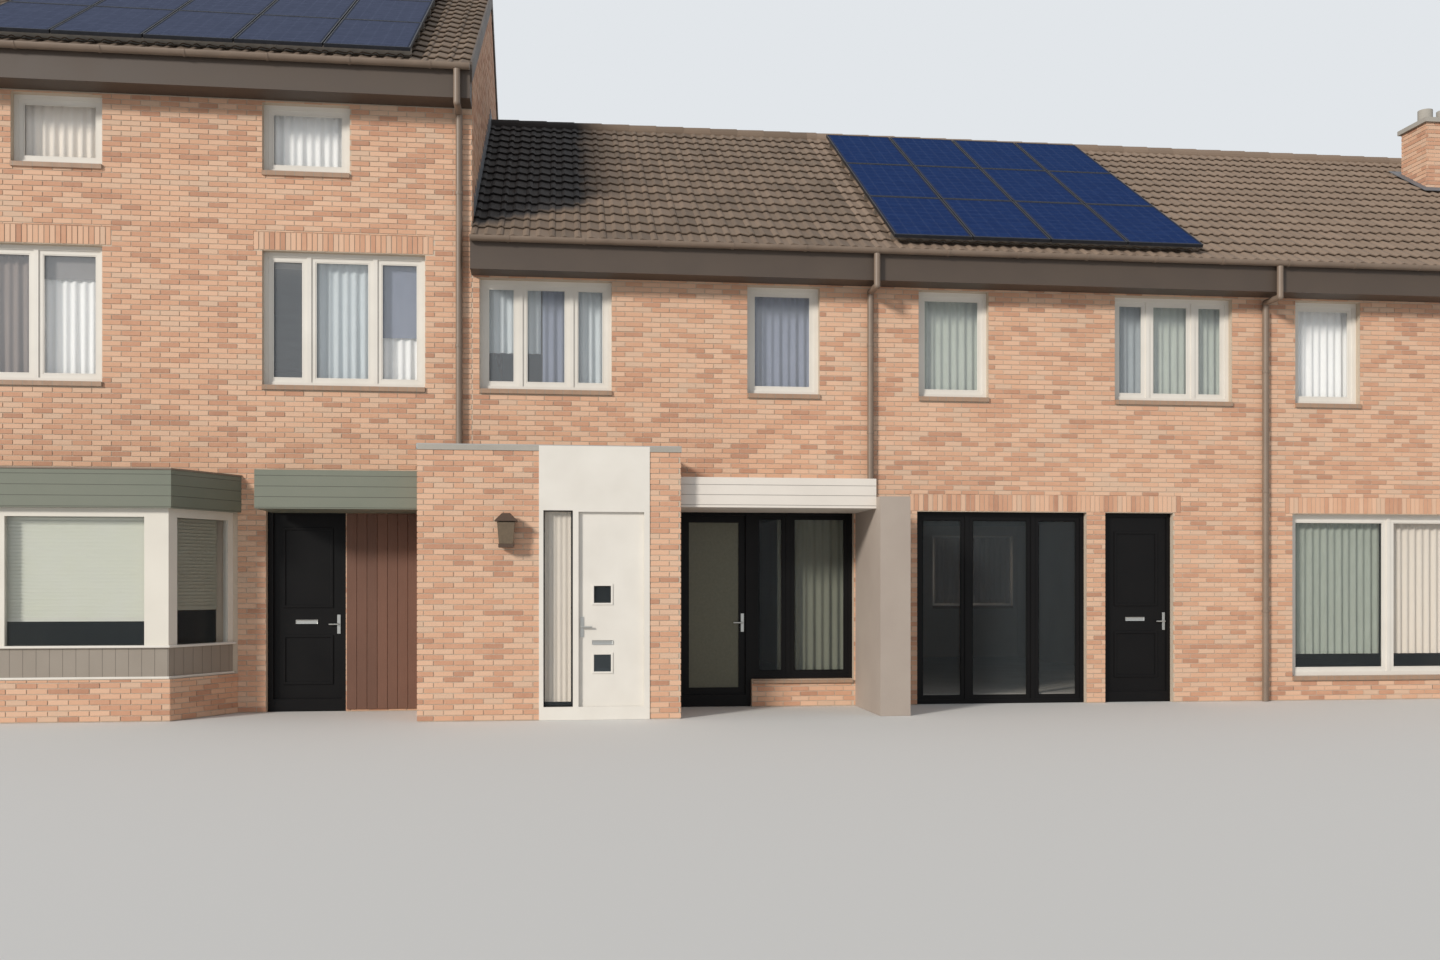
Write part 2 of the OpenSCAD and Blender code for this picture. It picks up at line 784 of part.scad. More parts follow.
module flat_roof(lo, hi, drop)
  difference() {
    span(lo, hi);
    span([lo[0] + edge_t, lo[1] + edge_t, hi[2] - drop], [hi[0] - edge_t, hi[1] + cut, hi[2] + cut]);
  }

module porch_canopy_1() color(green_grey)
  flat_roof([canopy_1_x0, front_y - bay_d - bay_lip, bay_head_z],
            [hall_left, front_y, bay_head_z + bay_edge_h], deck_drop);

module porch_canopy_2() color(white)
  flat_roof([hall_right, hall_y + porch_setback, canopy_z],
            [porch_wall_x0, front_y, canopy_z + porch_edge_h], deck_drop);

module porch_side_wall() color(render_grey)
  span([porch_wall_x0, hall_y, 0], [porch_wall_x0 + porch_wall_t, front_y, porch_wall_z]);

// Doors: a frame with a stop in front of the leaf, and lift-off hinges on the left

// Frame of one doorway with its leaf recess open to the inside
module door_frame(x0, y0, w, h)
  difference() {
    translate([x0, y0, 0]) cube([w, frame_depth, h]);
    translate([x0 + door_bar + stop_w, y0 - cut, threshold_h + stop_w])
      cube([w - 2 * (door_bar + stop_w), frame_depth + 2 * cut,
            h - threshold_h - door_bar - 2 * stop_w]);
    translate([x0 + door_bar, y0 + stop_t, threshold_h])
      cube([w - 2 * door_bar, frame_depth, h - threshold_h - door_bar]);
  }

module leaf_blank(x0, y0, w, h)
  translate([x0 + door_bar + leaf_gap, y0 + stop_t + leaf_gap, threshold_h + leaf_gap])
    cube([w - 2 * (door_bar + leaf_gap), leaf_t, h - threshold_h - door_bar - 2 * leaf_gap]);

// Hinge heights on a door of height h
function hinge_zs(h) = [threshold_h + 200, (threshold_h + h) / 2, h - 250];

// One half of the hinges: the leaf's knuckles turn on the frame's knuckles below them
module knuckles(x0, y0, h, on_leaf) {
  strap = [34, 3, knuckle_h];
  for (z = hinge_zs(h))
    translate([x0 + door_bar + leaf_gap / 2, y0 + frame_depth, on_leaf ? z + knuckle_h + seat : z]) {
      translate([0, knuckle_r + 1, 0]) cylinder(r = knuckle_r, h = knuckle_h);
      translate([on_leaf ? 0 : -strap[0], 0, 0]) cube(strap);
    }
}

// Lever handles on both faces of a leaf, near its free edge
module handles(x0, y0, w) {
  plate = [38, 8, 230];
  lever_l = 115;
  lever_t = 20;
  neck_r = 9;
  face_y = y0 + stop_t + leaf_gap;
  x = x0 + w - door_bar - leaf_gap - 48;
  for (outside = [true, false])
    translate([x, outside ? face_y : face_y + leaf_t, handle_z])
      mirror([0, outside ? 0 : 1, 0]) {
        translate([-plate[0] / 2, -plate[1], -plate[2] / 2]) cube(plate);
        rotate([90, 0, 0]) cylinder(r = neck_r, h = handle_out - lever_t / 2);
        translate([0, -handle_out + lever_t / 2, 0]) rotate([0, -90, 0])
          cylinder(r = lever_t / 2, h = lever_l);
        translate([0, -handle_out + lever_t / 2, 0]) sphere(lever_t / 2);
      }
}

module door_frame_1() color(dark) {
  door_frame(door_1_x0, door_y, door_unit_w, lintel_z);
  knuckles(door_1_x0, door_y, lintel_z, false);
}

module door_1() color(dark) {
  leaf_blank(door_1_x0, door_y, door_unit_w, lintel_z);
  knuckles(door_1_x0, door_y, lintel_z, true);
}

module door_1_handles() color("silver") handles(door_1_x0, door_y, door_unit_w);

// Entrance hall

module hall_front_wall() color(brick)
  span([hall_left, hall_y, 0], [entrance_x0, hall_y + wall_t, hall_wall_z]);

module hall_side_walls() color(brick) {
  span([hall_left, hall_y + wall_t, 0], [hall_left + wall_t, front_y, hall_wall_z]);
  span([entrance_x1, hall_y, 0], [hall_right, front_y, hall_wall_z]);
}

// The roof lies between the walls, under a thin plate with a raised edge
module hall_roof() color(concrete) {
  span([hall_left + wall_t, hall_y + wall_t, hall_wall_z - hall_roof_t],
       [entrance_x1, front_y, hall_wall_z]);
  span([entrance_x0, entrance_y + frame_depth, hall_wall_z - hall_roof_t],
       [entrance_x1, hall_y + wall_t, hall_wall_z]);
  difference() {
    flat_roof([hall_left, entrance_y, hall_wall_z], [hall_right + hall_lip, front_y, hall_top_z],
              deck_drop / 2);
    span([entrance_x0, entrance_y - cut, hall_wall_z - cut],
         [entrance_x1, entrance_y + frame_depth, hall_top_z + cut]);
  }
}

// White entrance: side light, door hung on the right, and a board up to the roof's edge
door_2_x = entrance_x0 + door_bar + side_light_w;
door_2_w = entrance_w - door_bar - side_light_w;
door_2_mid = door_2_x + door_2_w / 2;

module side_light(y0, y1)
  span([entrance_x0 + door_bar, y0, threshold_h + stop_w],
       [entrance_x0 + door_bar + side_light_w, y1, door_2_h - door_bar]);

module side_light_pane() {
  y0 = entrance_y + (frame_depth - glass_t) / 2;
  side_light(y0, y0 + glass_t);
}

module door_frame_2() color(white) {
  difference() {
    span([entrance_x0, entrance_y, 0], [door_2_x, entrance_y + frame_depth, door_2_h]);
    side_light(entrance_y - cut, entrance_y + frame_depth + cut);
  }
  flipped(door_2_mid) {
    door_frame(door_2_x, entrance_y, door_2_w, door_2_h);
    knuckles(door_2_x, entrance_y, door_2_h, false);
  }
  span([entrance_x0, entrance_y, door_2_h], [entrance_x1, entrance_y + frame_depth, hall_top_z]);
}

// Square light in the white leaf, a little towards its lock side
module leaf_light(y0, y1)
  translate([door_2_mid - light_shift - light_s / 2, y0, light_z - light_s / 2])
    cube([light_s, y1 - y0, light_s]);

module door_2() color(white) {
  difference() {
    leaf_blank(door_2_x, entrance_y, door_2_w, door_2_h);
    leaf_light(entrance_y, entrance_y + frame_depth + cut);
  }
  flipped(door_2_mid) knuckles(door_2_x, entrance_y, door_2_h, true);
}

module door_2_light() color(pane) {
  y0 = entrance_y + stop_t + leaf_gap + (leaf_t - glass_t) / 2;
  leaf_light(y0, y0 + glass_t);
}

module door_2_handles() color("silver")
  flipped(door_2_mid) handles(door_2_x, entrance_y, door_2_w);

// Dark glazing: the porch window beside the glazed door, and the third house's garden glazing
dark_windows = [
  right_of(glazing_x0 + door_unit_w, glazing_sill_z, glazing_x1 - glazing_x0 - door_unit_w,
           lintel_z - glazing_sill_z, porch_panes),
  right_of(garden_x0, 0, garden_w, lintel_z, three_panes)
];

module dark_frames() color(dark) {
  for (w = dark_windows) window_frame(w);
  door_frame(glazing_x0, door_y, door_unit_w, lintel_z);
  knuckles(glazing_x0, door_y, lintel_z, false);
}

module glazed_area(y0, y1) {
  side = door_bar + leaf_gap + stile_w;
  span([glazing_x0 + side, y0, threshold_h + leaf_gap + stile_w],
       [glazing_x0 + door_unit_w - side, y1, lintel_z - side]);
}

module glazed_door_2() color(dark) {
  difference() {
    leaf_blank(glazing_x0, door_y, door_unit_w, lintel_z);
    glazed_area(door_y, door_y + frame_depth + cut);
  }
  knuckles(glazing_x0, door_y, lintel_z, true);
}

module glazed_door_2_pane() color(pane) {
  y0 = door_y + stop_t + leaf_gap + (leaf_t - glass_t) / 2;
  glazed_area(y0, y0 + glass_t);
}

module glazed_door_2_handles() color("silver") handles(glazing_x0, door_y, door_unit_w);

// Doors that stay shut: frame and leaf as one piece, with the leaf set back on both faces
module shut_door(x) {
  leaf_set = 18;
  difference() {
    span([x, door_y, 0], [x + door_unit_w, door_y + frame_depth, lintel_z]);
    for (y = [door_y - cut, door_y + frame_depth - leaf_set])
      translate([x + door_bar, y, threshold_h])
        cube([door_unit_w - 2 * door_bar, leaf_set + cut, lintel_z - threshold_h - door_bar]);
  }
}

module fixed_doors() color(dark) {
  for (x = [door_3_x, door_4_x]) shut_door(x);
  at_back() for (x = back_doors) shut_door(x);
}

// Solar panels in rows up the front slope, on rails

// Moves children onto the front slope: x along the row, y up the slope, z off the roof
module on_slope(x, edge_z)
  translate([x, -roof_edge_y, edge_z]) rotate([roof_pitch, 0, 0]) translate([0, 0, seat]) children();

panel_rows = floor((slope_l - 2 * panel_foot + panel_gap) / (panel_l + panel_gap));
function columns_in(width) = floor((width - 2 * panel_side + panel_gap) / (panel_w + panel_gap));
function field_w(columns) = columns * (panel_w + panel_gap) - panel_gap;
function row_y(j) = panel_foot + j * (panel_l + panel_gap);

module panel_field(columns)
  for (i = [0 : columns - 1], j = [0 : panel_rows - 1])
    translate([i * (panel_w + panel_gap), row_y(j), rail_h]) cube([panel_w, panel_l, panel_t]);

// Two rails under each row of panels, each over the raised edge of a row of tiles
function rail_y(j, share) = row_l * round((row_y(j) + share * panel_l) / row_l);

module rail_field(columns)
  for (j = [0 : panel_rows - 1], share = [0.2, 0.8])
    translate([0, rail_y(j, share) - rail_w / 2, 0]) cube([field_w(columns), rail_w, rail_h]);

columns_1 = columns_in(tall_house_w);
columns_3 = columns_in(house_w);
field_1_x = (line_1 + line_2 - field_w(columns_1)) / 2;
field_3_x = line_3 + panel_side;

module solar_panels_1() color("#41486a") on_slope(field_1_x, tall_eaves_z) panel_field(columns_1);
module solar_panels_3() color("#253966") on_slope(field_3_x, eaves_z) panel_field(columns_3);

module panel_rails() color("silver") {
  on_slope(field_1_x, tall_eaves_z) rail_field(columns_1);
  on_slope(field_3_x, eaves_z) rail_field(columns_3);
}

// Chimney on the front slope over the last party wall
chimney_x1 = line_5 + half_party;
chimney_x0 = chimney_x1 - chimney_w;
chimney_y0 = -chimney_y - chimney_d / 2;
chimney_y1 = chimney_y0 + chimney_d;
chimney_top_z = ridge_z + chimney_over;

module chimney() color(brick)
  along(chimney_x0, chimney_x1)
    polygon([
      [chimney_y0, roof_top(chimney_y0, eaves_z) + seat],
      [chimney_y1, roof_top(chimney_y1, eaves_z) + seat],
      [chimney_y1, chimney_top_z],
      [chimney_y0, chimney_top_z]
    ]);

module chimney_cap() color(concrete) {
  span([chimney_x0 - cap_lip, chimney_y0 - cap_lip, chimney_top_z],
       [chimney_x1, chimney_y1 + cap_lip, chimney_top_z + cap_t]);
  for (share = [0.27, 0.73])
    translate([chimney_x0 + share * chimney_w, -chimney_y, chimney_top_z + cap_t / 2])
      difference() {
        cylinder(r = pot_r, h = pot_h);
        translate([0, 0, cap_t]) cylinder(r = pot_r * 0.8, h = pot_h);
      }
}

party_walls();
front_wall_1();
front_wall_2();
front_wall_3();
front_wall_4();
front_piers();
back_walls();
ground_floors();
upper_floors();
hall_and_bay_floors();
roof_1();
roof_2();
roof_3();
roof_4();
ridge_caps();
verge_boards();
eaves_boards();
gutters();
downpipes();
window_frames();
window_glass();
window_sills();
bay_wall();
bay_frame();
bay_glass();
bay_roof();
porch_canopy_1();
door_frame_1();
door_1();
door_1_handles();
hall_front_wall();
hall_side_walls();
hall_roof();
door_frame_2();
door_2();
door_2_light();
door_2_handles();
porch_canopy_2();
porch_side_wall();
dark_frames();
glazed_door_2();
glazed_door_2_pane();
glazed_door_2_handles();
fixed_doors();
solar_panels_1();
solar_panels_3();
panel_rails();
chimney();
chimney_cap();
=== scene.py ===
import math
import random

import bpy
import numpy as np
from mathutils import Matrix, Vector


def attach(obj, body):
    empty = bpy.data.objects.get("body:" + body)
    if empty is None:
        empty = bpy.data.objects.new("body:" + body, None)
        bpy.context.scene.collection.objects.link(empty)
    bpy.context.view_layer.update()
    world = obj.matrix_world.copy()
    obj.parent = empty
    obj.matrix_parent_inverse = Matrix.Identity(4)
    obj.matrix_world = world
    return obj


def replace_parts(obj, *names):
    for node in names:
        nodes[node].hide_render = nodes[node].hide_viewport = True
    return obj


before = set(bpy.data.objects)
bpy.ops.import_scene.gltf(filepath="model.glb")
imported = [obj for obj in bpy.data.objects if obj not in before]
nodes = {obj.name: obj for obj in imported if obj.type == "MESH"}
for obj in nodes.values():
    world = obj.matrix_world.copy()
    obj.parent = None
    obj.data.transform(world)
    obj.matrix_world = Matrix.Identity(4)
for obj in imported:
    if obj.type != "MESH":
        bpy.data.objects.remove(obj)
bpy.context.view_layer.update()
bpy.ops.object.select_all(action="DESELECT")


# Brickwork. Pale orange facing bricks of 209 by 51 mm with light sand joints, laid in stretcher bond
# with a course of bricks on end over each opening. The walls of the frame are the face of the mortar,
# and each brick here is a slip that stands 7 mm proud of it, cut to size at the openings.
class Value:
    """An output of a node, so that shader maths reads as an expression."""

    def __init__(self, maker, socket):
        self.maker, self.socket = maker, socket

    def maths(self, operation, *terms):
        return self.maker.add("ShaderNodeMath", {"operation": operation}, dict(enumerate(terms)))

    def __add__(self, other):
        return self.maths("ADD", self, other)

    def __sub__(self, other):
        return self.maths("SUBTRACT", self, other)

    def __rsub__(self, other):
        return self.maths("SUBTRACT", other, self)

    def __mul__(self, other):
        return self.maths("MULTIPLY", self, other)

    def __truediv__(self, other):
        return self.maths("DIVIDE", self, other)

    def __mod__(self, other):
        return self.maths("FLOORED_MODULO", self, other)

    def __lt__(self, other):
        return self.maths("LESS_THAN", self, other)

    def __gt__(self, other):
        return self.maths("GREATER_THAN", self, other)

    def held(self):
        """The number, kept from 0 to 1."""
        return self.maths("MAXIMUM", self.maths("MINIMUM", self, 1.0), 0.0)

    __radd__ = __add__
    __rmul__ = __mul__


class Nodes:
    """The node tree of a material or of the world."""

    def __init__(self, owner):
        owner.use_nodes = True
        self.tree = owner.node_tree

    def add(self, kind, settings=None, inputs=None, out=0):
        node = self.tree.nodes.new(kind)
        for key, value in (settings or {}).items():
            if key == "stops":
                ramp = node.color_ramp.elements
                while len(ramp) < len(value):
                    ramp.new(0.5)
                for stop, (at, shade) in zip(ramp, value):
                    stop.position, stop.color = at, (*shade, 1)
            else:
                setattr(node, key, value)
        for key, value in (inputs or {}).items():
            self.put(node.inputs[key], value)
        return Value(self, node.outputs[out])

    def put(self, socket, value):
        if isinstance(value, Value):
            self.tree.links.new(value.socket, socket)
        elif isinstance(value, tuple) and len(value) == 3 and socket.type == "RGBA":
            socket.default_value = (*value, 1)
        else:
            socket.default_value = value


class Paint(Nodes):
    """A material, built up from nodes that read the place on the object."""

    def __init__(self, name):
        self.material = bpy.data.materials.new(name)
        super().__init__(self.material)
        self.place = self.add("ShaderNodeTexCoord", out="Object")

    def noise(self, size, detail=3.0, rough=0.5, stretch=(1, 1, 1)):
        """Noise from 0 to 1 with spots of about that size in metres."""
        place = self.add("ShaderNodeMapping", {"vector_type": "POINT"},
                         {"Vector": self.place, "Scale": stretch})
        return self.add("ShaderNodeTexNoise", {}, {"Vector": place, "Scale": 1 / size, "Detail": detail,
                                                   "Roughness": rough}, out="Fac")

    def own_tone(self):
        """The number that each brick, tile or board drew for itself."""
        return self.add("ShaderNodeAttribute", {"attribute_name": "tone"}, out="Fac")

    def shades(self, fac, *stops):
        return self.add("ShaderNodeValToRGB", {"stops": stops}, {"Fac": fac})

    def blend(self, fac, a, b):
        return self.add("ShaderNodeMix", {"data_type": "RGBA"}, {"Factor": fac, 6: a, 7: b}, out=2)

    def along(self, axis, place=None):
        return self.add("ShaderNodeSeparateXYZ", {}, {"Vector": place or self.place}, out=axis)

    def steady(self, low, high, fac):
        """A number that goes from low to high with fac."""
        return fac * (high - low) + low

    def finish(self, bump=None, depth=0.002, **sockets):
        if bump is not None:
            sockets["Normal"] = self.add("ShaderNodeBump", {}, {"Height": bump, "Distance": depth,
                                                                "Strength": 1.0}, out="Normal")
        for key, value in sockets.items():
            self.put(self.tree.nodes["Principled BSDF"].inputs[key.replace("_", " ")], value)
        return self.material


def srgb(r, g, b):
    """A colour written as 0 to 255 for each of its parts."""
    return tuple((v / 255 / 12.92) if v < 10 else ((v / 255 + 0.055) / 1.055) ** 2.4 for v in (r, g, b))


def mottled(name, low, high, rough, spots, grain=None, depth=0.0, rough_grain=False, **sockets):
    """A finish whose colour drifts from low to high over its spots.

    A depth gives it relief, from its grain, or from the spots where it has no grain.
    """
    paint = Paint(name)
    drift = paint.noise(*spots)
    fine = paint.noise(*grain) if grain else drift
    return paint.finish(Base_Color=paint.blend(drift, srgb(*low), srgb(*high)),
                        Roughness=paint.steady(*rough, fine if rough_grain else drift),
                        bump=fine if depth else None, depth=depth, **sockets)


def dress(material, *names):
    for name in names:
        mesh = nodes[name].data
        mesh.materials.clear()
        mesh.materials.append(material)


def fit(piece, material, body="houses"):
    """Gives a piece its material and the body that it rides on."""
    piece.data.materials.append(material)
    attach(piece, body)


def built(name, points, faces, tones=()):
    """A piece from its points and faces, and from the tone of each point where it has them."""
    mesh = bpy.data.meshes.new(name)
    mesh.from_pydata(points, [], faces)
    if len(tones):
        mesh.attributes.new("tone", "FLOAT", "POINT").data.foreach_set("value", tones)
    piece = bpy.data.objects.new(name, mesh)
    bpy.context.scene.collection.objects.link(piece)
    return piece


dress(mottled("sand mortar", (188, 170, 150), (208, 192, 172), (0.86, 0.96), spots=(0.7, 3),
              grain=(0.004, 6), depth=0.002, rough_grain=True),
      "party_walls", "front_wall_1", "front_wall_2", "front_wall_3", "front_wall_4", "front_piers",
      "back_walls", "bay_wall", "hall_front_wall", "hall_side_walls", "chimney")

brick = Paint("pale orange facing brick")
pits, smoke, weather = brick.noise(0.006, 8, 0.65), brick.noise(0.09, 4), brick.noise(1.6, 4)
fired = brick.shades(brick.own_tone(), (0.0, srgb(176, 124, 98)), (0.12, srgb(198, 144, 114)),
                     (0.45, srgb(216, 168, 136)), (0.75, srgb(226, 184, 154)), (1.0, srgb(212, 180, 154)))
fired = brick.blend(brick.steady(0.0, 0.35, smoke), fired, srgb(228, 190, 160))
fired = brick.blend(brick.steady(0.0, 0.2, weather), fired, srgb(150, 112, 88))
brick_coat = brick.finish(Base_Color=fired, Roughness=brick.steady(0.74, 0.92, pits),
                          bump=pits * 0.6 + smoke * 0.4, depth=0.004)

BRICK_L, BRICK_H, JOINT, COURSE = 0.209, 0.051, 0.011, 0.062
PROUD, UNEVEN, SUNK = 0.007, 0.0015, 0.002
# No brick is cut lower than the first of these, or shorter than the second at an opening and the
# third at the end of a wall
THINNEST, SHORTEST_CUT, SHORTEST = 0.012, 0.014, 0.02
chance = random.Random(7)


def round_holes(brick_face, holes):
    """Splits a rectangle (u0, u1, v0, v1) round the openings that it would cross."""
    parts = [brick_face]
    for h in holes:
        left = []
        for p in parts:
            if p[1] <= h[0] or p[0] >= h[1] or p[3] <= h[2] or p[2] >= h[3]:
                left.append(p)
                continue
            a, b = max(p[0], h[0]), min(p[1], h[1])
            left += [(p[0], a, p[2], p[3]), (b, p[1], p[2], p[3]), (a, b, p[2], h[2]), (a, b, h[3], p[3])]
        parts = [p for p in left if p[1] - p[0] > SHORTEST_CUT and p[3] - p[2] > THINNEST]
    return parts


def keep_under(outline, a, b, c):
    """The part of a convex outline where a * u + b * v is at most c."""
    kept = []
    for i, p in enumerate(outline):
        q = outline[i - 1]
        dp, dq = a * p[0] + b * p[1] - c, a * q[0] + b * q[1] - c
        if (dp <= 0) != (dq <= 0):
            t = dq / (dq - dp)
            kept.append((q[0] + t * (p[0] - q[0]), q[1] + t * (p[1] - q[1])))
        if dp <= 0:
            kept.append(p)
    return kept


class Brickwork:
    """Slips for one or more faces of wall, joined to one piece."""

    def __init__(self):
        self.points, self.faces, self.tones = [], [], []

    def slip(self, outline, origin, along, out):
        if len(outline) < 3:
            return
        n, first, up = len(outline), len(self.points), Vector((0, 0, 1))
        tone = chance.random()
        for depth in (PROUD + chance.uniform(-UNEVEN, UNEVEN), -SUNK):
            self.points += [tuple(origin + along * u + up * v + out * depth) for u, v in outline]
        ring = list(range(first, first + n))
        if along.cross(up).dot(out) < 0:
            ring.reverse()
        back = [i + n for i in ring]
        self.faces += [ring, back[::-1]] + [[ring[i - 1], back[i - 1], back[i], ring[i]] for i in range(n)]
        self.tones += [tone] * (2 * n)

    def lay(self, origin, along, out, u0, u1, v0, v1, holes=(), slopes=()):
        """Stretcher bond over a face from u0 to u1 and v0 to v1, measured from the origin."""
        origin, along, out = Vector(origin), Vector(along), Vector(out)
        step = BRICK_L + JOINT
        for row in range(math.floor(v0 / COURSE), math.ceil(v1 / COURSE)):
            bottom, top = max(row * COURSE + JOINT, v0), min(row * COURSE + JOINT + BRICK_H, v1)
            if top - bottom < THINNEST:
                continue
            start = (row % 2) * step / 2
            for k in range(math.floor((u0 - start) / step), math.ceil((u1 - start) / step)):
                left = max(start + k * step, u0)
                right = min(start + k * step + BRICK_L, u1)
                if right - left < SHORTEST:
                    continue
                for a, b, c, d in round_holes((left, right, bottom, top), holes):
                    outline = [(a, c), (b, c), (b, d), (a, d)]
                    for s in slopes:
                        outline = keep_under(outline, *s)
                    self.slip(outline, origin, along, out)

    def lintel(self, origin, along, out, u0, u1, v0):
        """A course of bricks on end."""
        origin, along, out = Vector(origin), Vector(along), Vector(out)
        count = round((u1 - u0) / COURSE)
        pitch = (u1 - u0) / count
        for i in range(count):
            a = u0 + i * pitch + JOINT / 2
            b, top = a + pitch - JOINT, v0 + BRICK_L
            self.slip([(a, v0), (b, v0), (b, top), (a, top)], origin, along, out)

    def make(self, name):
        fit(built(name, self.points, self.faces, self.tones), brick_coat)


FRONT, BACK, EAST, WEST = (0, -1, 0), (0, 1, 0), (1, 0, 0), (-1, 0, 0)
HALF, PITCH = 4.3, math.radians(32.5)
SLOPE = math.tan(PITCH)
LEFT_END, TALL_SIDE, RIGHT_END = -11.45, -4.95, 10.35
LOW_EAVES, TALL_EAVES, RUN = 5.70, 7.73, 0.33
SOFFIT, TALL_SOFFIT, ROOF_T = LOW_EAVES - 0.40, TALL_EAVES - 0.40, 0.22
# Openings as (x0, x1, z0, z1). Those of the upper floors are the same in front and at the back
SILL = 0.055
UPPER = [(-10.85, -9.24, 3.92, 5.53), (-7.42, -5.51, 3.92, 5.53), (-10.26, -9.24, 6.48, 7.30),
         (-7.42, -6.40, 6.48, 7.30), (-4.86, -3.25, 3.92, 5.27), (-1.56, -0.64, 3.92, 5.27),
         (0.64, 1.56, 3.92, 5.27), (3.25, 4.86, 3.92, 5.27), (5.74, 6.66, 3.92, 5.27),
         (8.35, 9.96, 3.92, 5.27)]
LARGE = (5.70, 8.45, 0.32, 2.46)
GARDEN = (0.62, 2.87, 0.0, 2.46)
FRONT_DOORS = [(-7.375, -6.445, 0.0, 2.46), (3.12, 4.05, 0.0, 2.46), (8.93, 9.86, 0.0, 2.46)]
BACK_LOW = [(-10.85, -9.24, 1.11, 2.46), (-4.86, -3.25, 1.11, 2.46), (3.25, 4.86, 1.11, 2.46),
            (8.35, 9.96, 1.11, 2.46)]
BACK_DOORS = [(-6.44, -5.51, 0.0, 2.46), (-1.57, -0.64, 0.0, 2.46), (0.64, 1.57, 0.0, 2.46),
              (5.74, 6.67, 0.0, 2.46)]
# The hall, with the white entrance in its front, and the porch of the second house
HALL_L, HALL_R, HALL_TOP, HALL_FRONT, HALL_BRICKS = -5.46, -2.52, 3.10, -5.60, 3.035
ENTRANCE_L, ENTRANCE_R, PORCH_R, PORCH_HEAD, LOW_WALL = -4.12, -2.87, -0.2, 2.43, 0.285
# The bay, whose splayed sides draw in by BAY_SPLAY over its depth BAY_D
BAY_L, BAY_R, BAY_SPLAY, BAY_D, BAY_FOOT = -10.80, -7.70, 0.52, 0.90, 0.47
BAY_SIDE = math.hypot(BAY_SPLAY, BAY_D)
# The chimney, over the right gable, leaves the roof at another height on each slope
STACK_L, STACK_FRONT, STACK_BACK, STACK_TOP = 9.65, -1.45, -0.85, 8.795
STACK_LOW, STACK_HIGH = 7.70, 8.05


def heads(openings):
    """Strips over the openings for the bricks on end, where there is room for them below the eaves."""
    return [(x0 - 0.1, x1 + 0.1, z1 + 0.004, z1 + BRICK_L + 0.015) for x0, x1, z0, z1 in openings
            if z1 + BRICK_L < (TALL_SOFFIT if x0 < -5 else SOFFIT)]


def long_wall(name, side, openings, porches, strips):
    """The front or back of the whole row, laid round its openings with bricks on end in the strips."""
    work, origin, out = Brickwork(), (0, side * HALF, 0), (0, side, 0)
    holes = [(x0, x1, z0 - SILL if z0 > 0 else 0.0, z1) for x0, x1, z0, z1 in openings] + porches + strips
    work.lay(origin, EAST, out, LEFT_END - PROUD, TALL_SIDE, 0, TALL_SOFFIT, holes)
    work.lay(origin, EAST, out, TALL_SIDE + JOINT, RIGHT_END + PROUD, 0, SOFFIT, holes)
    for x0, x1, z0, z1 in strips:
        work.lintel(origin, EAST, out, x0, x1, z0 + JOINT / 2)
    work.make(name)


ground_front = FRONT_DOORS + [LARGE, GARDEN]
porches = [
    (HALL_L, HALL_R, 0, HALL_TOP),
    (HALL_R, PORCH_R, 0, 2.78),
    (-7.30, HALL_L, 2.39, 2.83),  # canopy of the tall house
    (BAY_L - 0.04, BAY_R + 0.04, 2.39, 2.83),  # roof of the bay
    (BAY_L, BAY_R, 0.0, 2.40),
    (-0.18, 0.18, 0, 2.56),  # rendered wall
]
garden_and_door = (GARDEN[0], FRONT_DOORS[1][1], 0, GARDEN[3])
long_wall("front_bricks", -1, UPPER + ground_front, porches,
          heads(UPPER + [LARGE, garden_and_door, FRONT_DOORS[2]]))

# The piers and the low wall under the second canopy, the hall's front and sides, the foot of the bay
work = Brickwork()
work.lay((0, -HALF, 0), EAST, FRONT, HALL_R, PORCH_R, 0, PORCH_HEAD,
         [(-2.43, -1.50, 0, PORCH_HEAD), (-1.50, PORCH_R, LOW_WALL, PORCH_HEAD)])
for x0, x1 in ((HALL_L - PROUD, ENTRANCE_L), (ENTRANCE_R, HALL_R + PROUD)):
    work.lay((0, HALL_FRONT, 0), EAST, FRONT, x0, x1, 0, HALL_BRICKS)
for x, out, canopy in ((HALL_L, WEST, (-5.24, -4.3, 2.39, 2.83)), (HALL_R, EAST, (-5.40, -4.3, 2.43, 2.78))):
    work.lay((x, 0, 0), BACK, out, HALL_FRONT, -HALF - PROUD, 0, HALL_BRICKS, [canopy])
work.lay((BAY_L + BAY_SPLAY, -HALF - BAY_D, 0), EAST, FRONT, 0, BAY_R - BAY_L - 2 * BAY_SPLAY, 0, BAY_FOOT)
for x, turn in ((BAY_L, 1), (BAY_R, -1)):
    work.lay((x, -HALF, 0), (turn * BAY_SPLAY / BAY_SIDE, -BAY_D / BAY_SIDE, 0),
             (-turn * BAY_D / BAY_SIDE, -BAY_SPLAY / BAY_SIDE, 0), 0.01, BAY_SIDE, 0, BAY_FOOT)
work.make("porch_bricks")
long_wall("back_bricks", 1, UPPER + BACK_LOW + BACK_DOORS, [], heads(UPPER + BACK_LOW + BACK_DOORS))


def gable(work, x, out, z0, z1, edge_z):
    """The bricks of one end wall, cut at the roof's underside on both slopes."""
    level = edge_z + (HALF + RUN) * SLOPE - ROOF_T / math.cos(PITCH)
    work.lay((x, 0, 0), BACK, out, -HALF, HALF, z0, z1, slopes=[(SLOPE, 1, level), (-SLOPE, 1, level)])


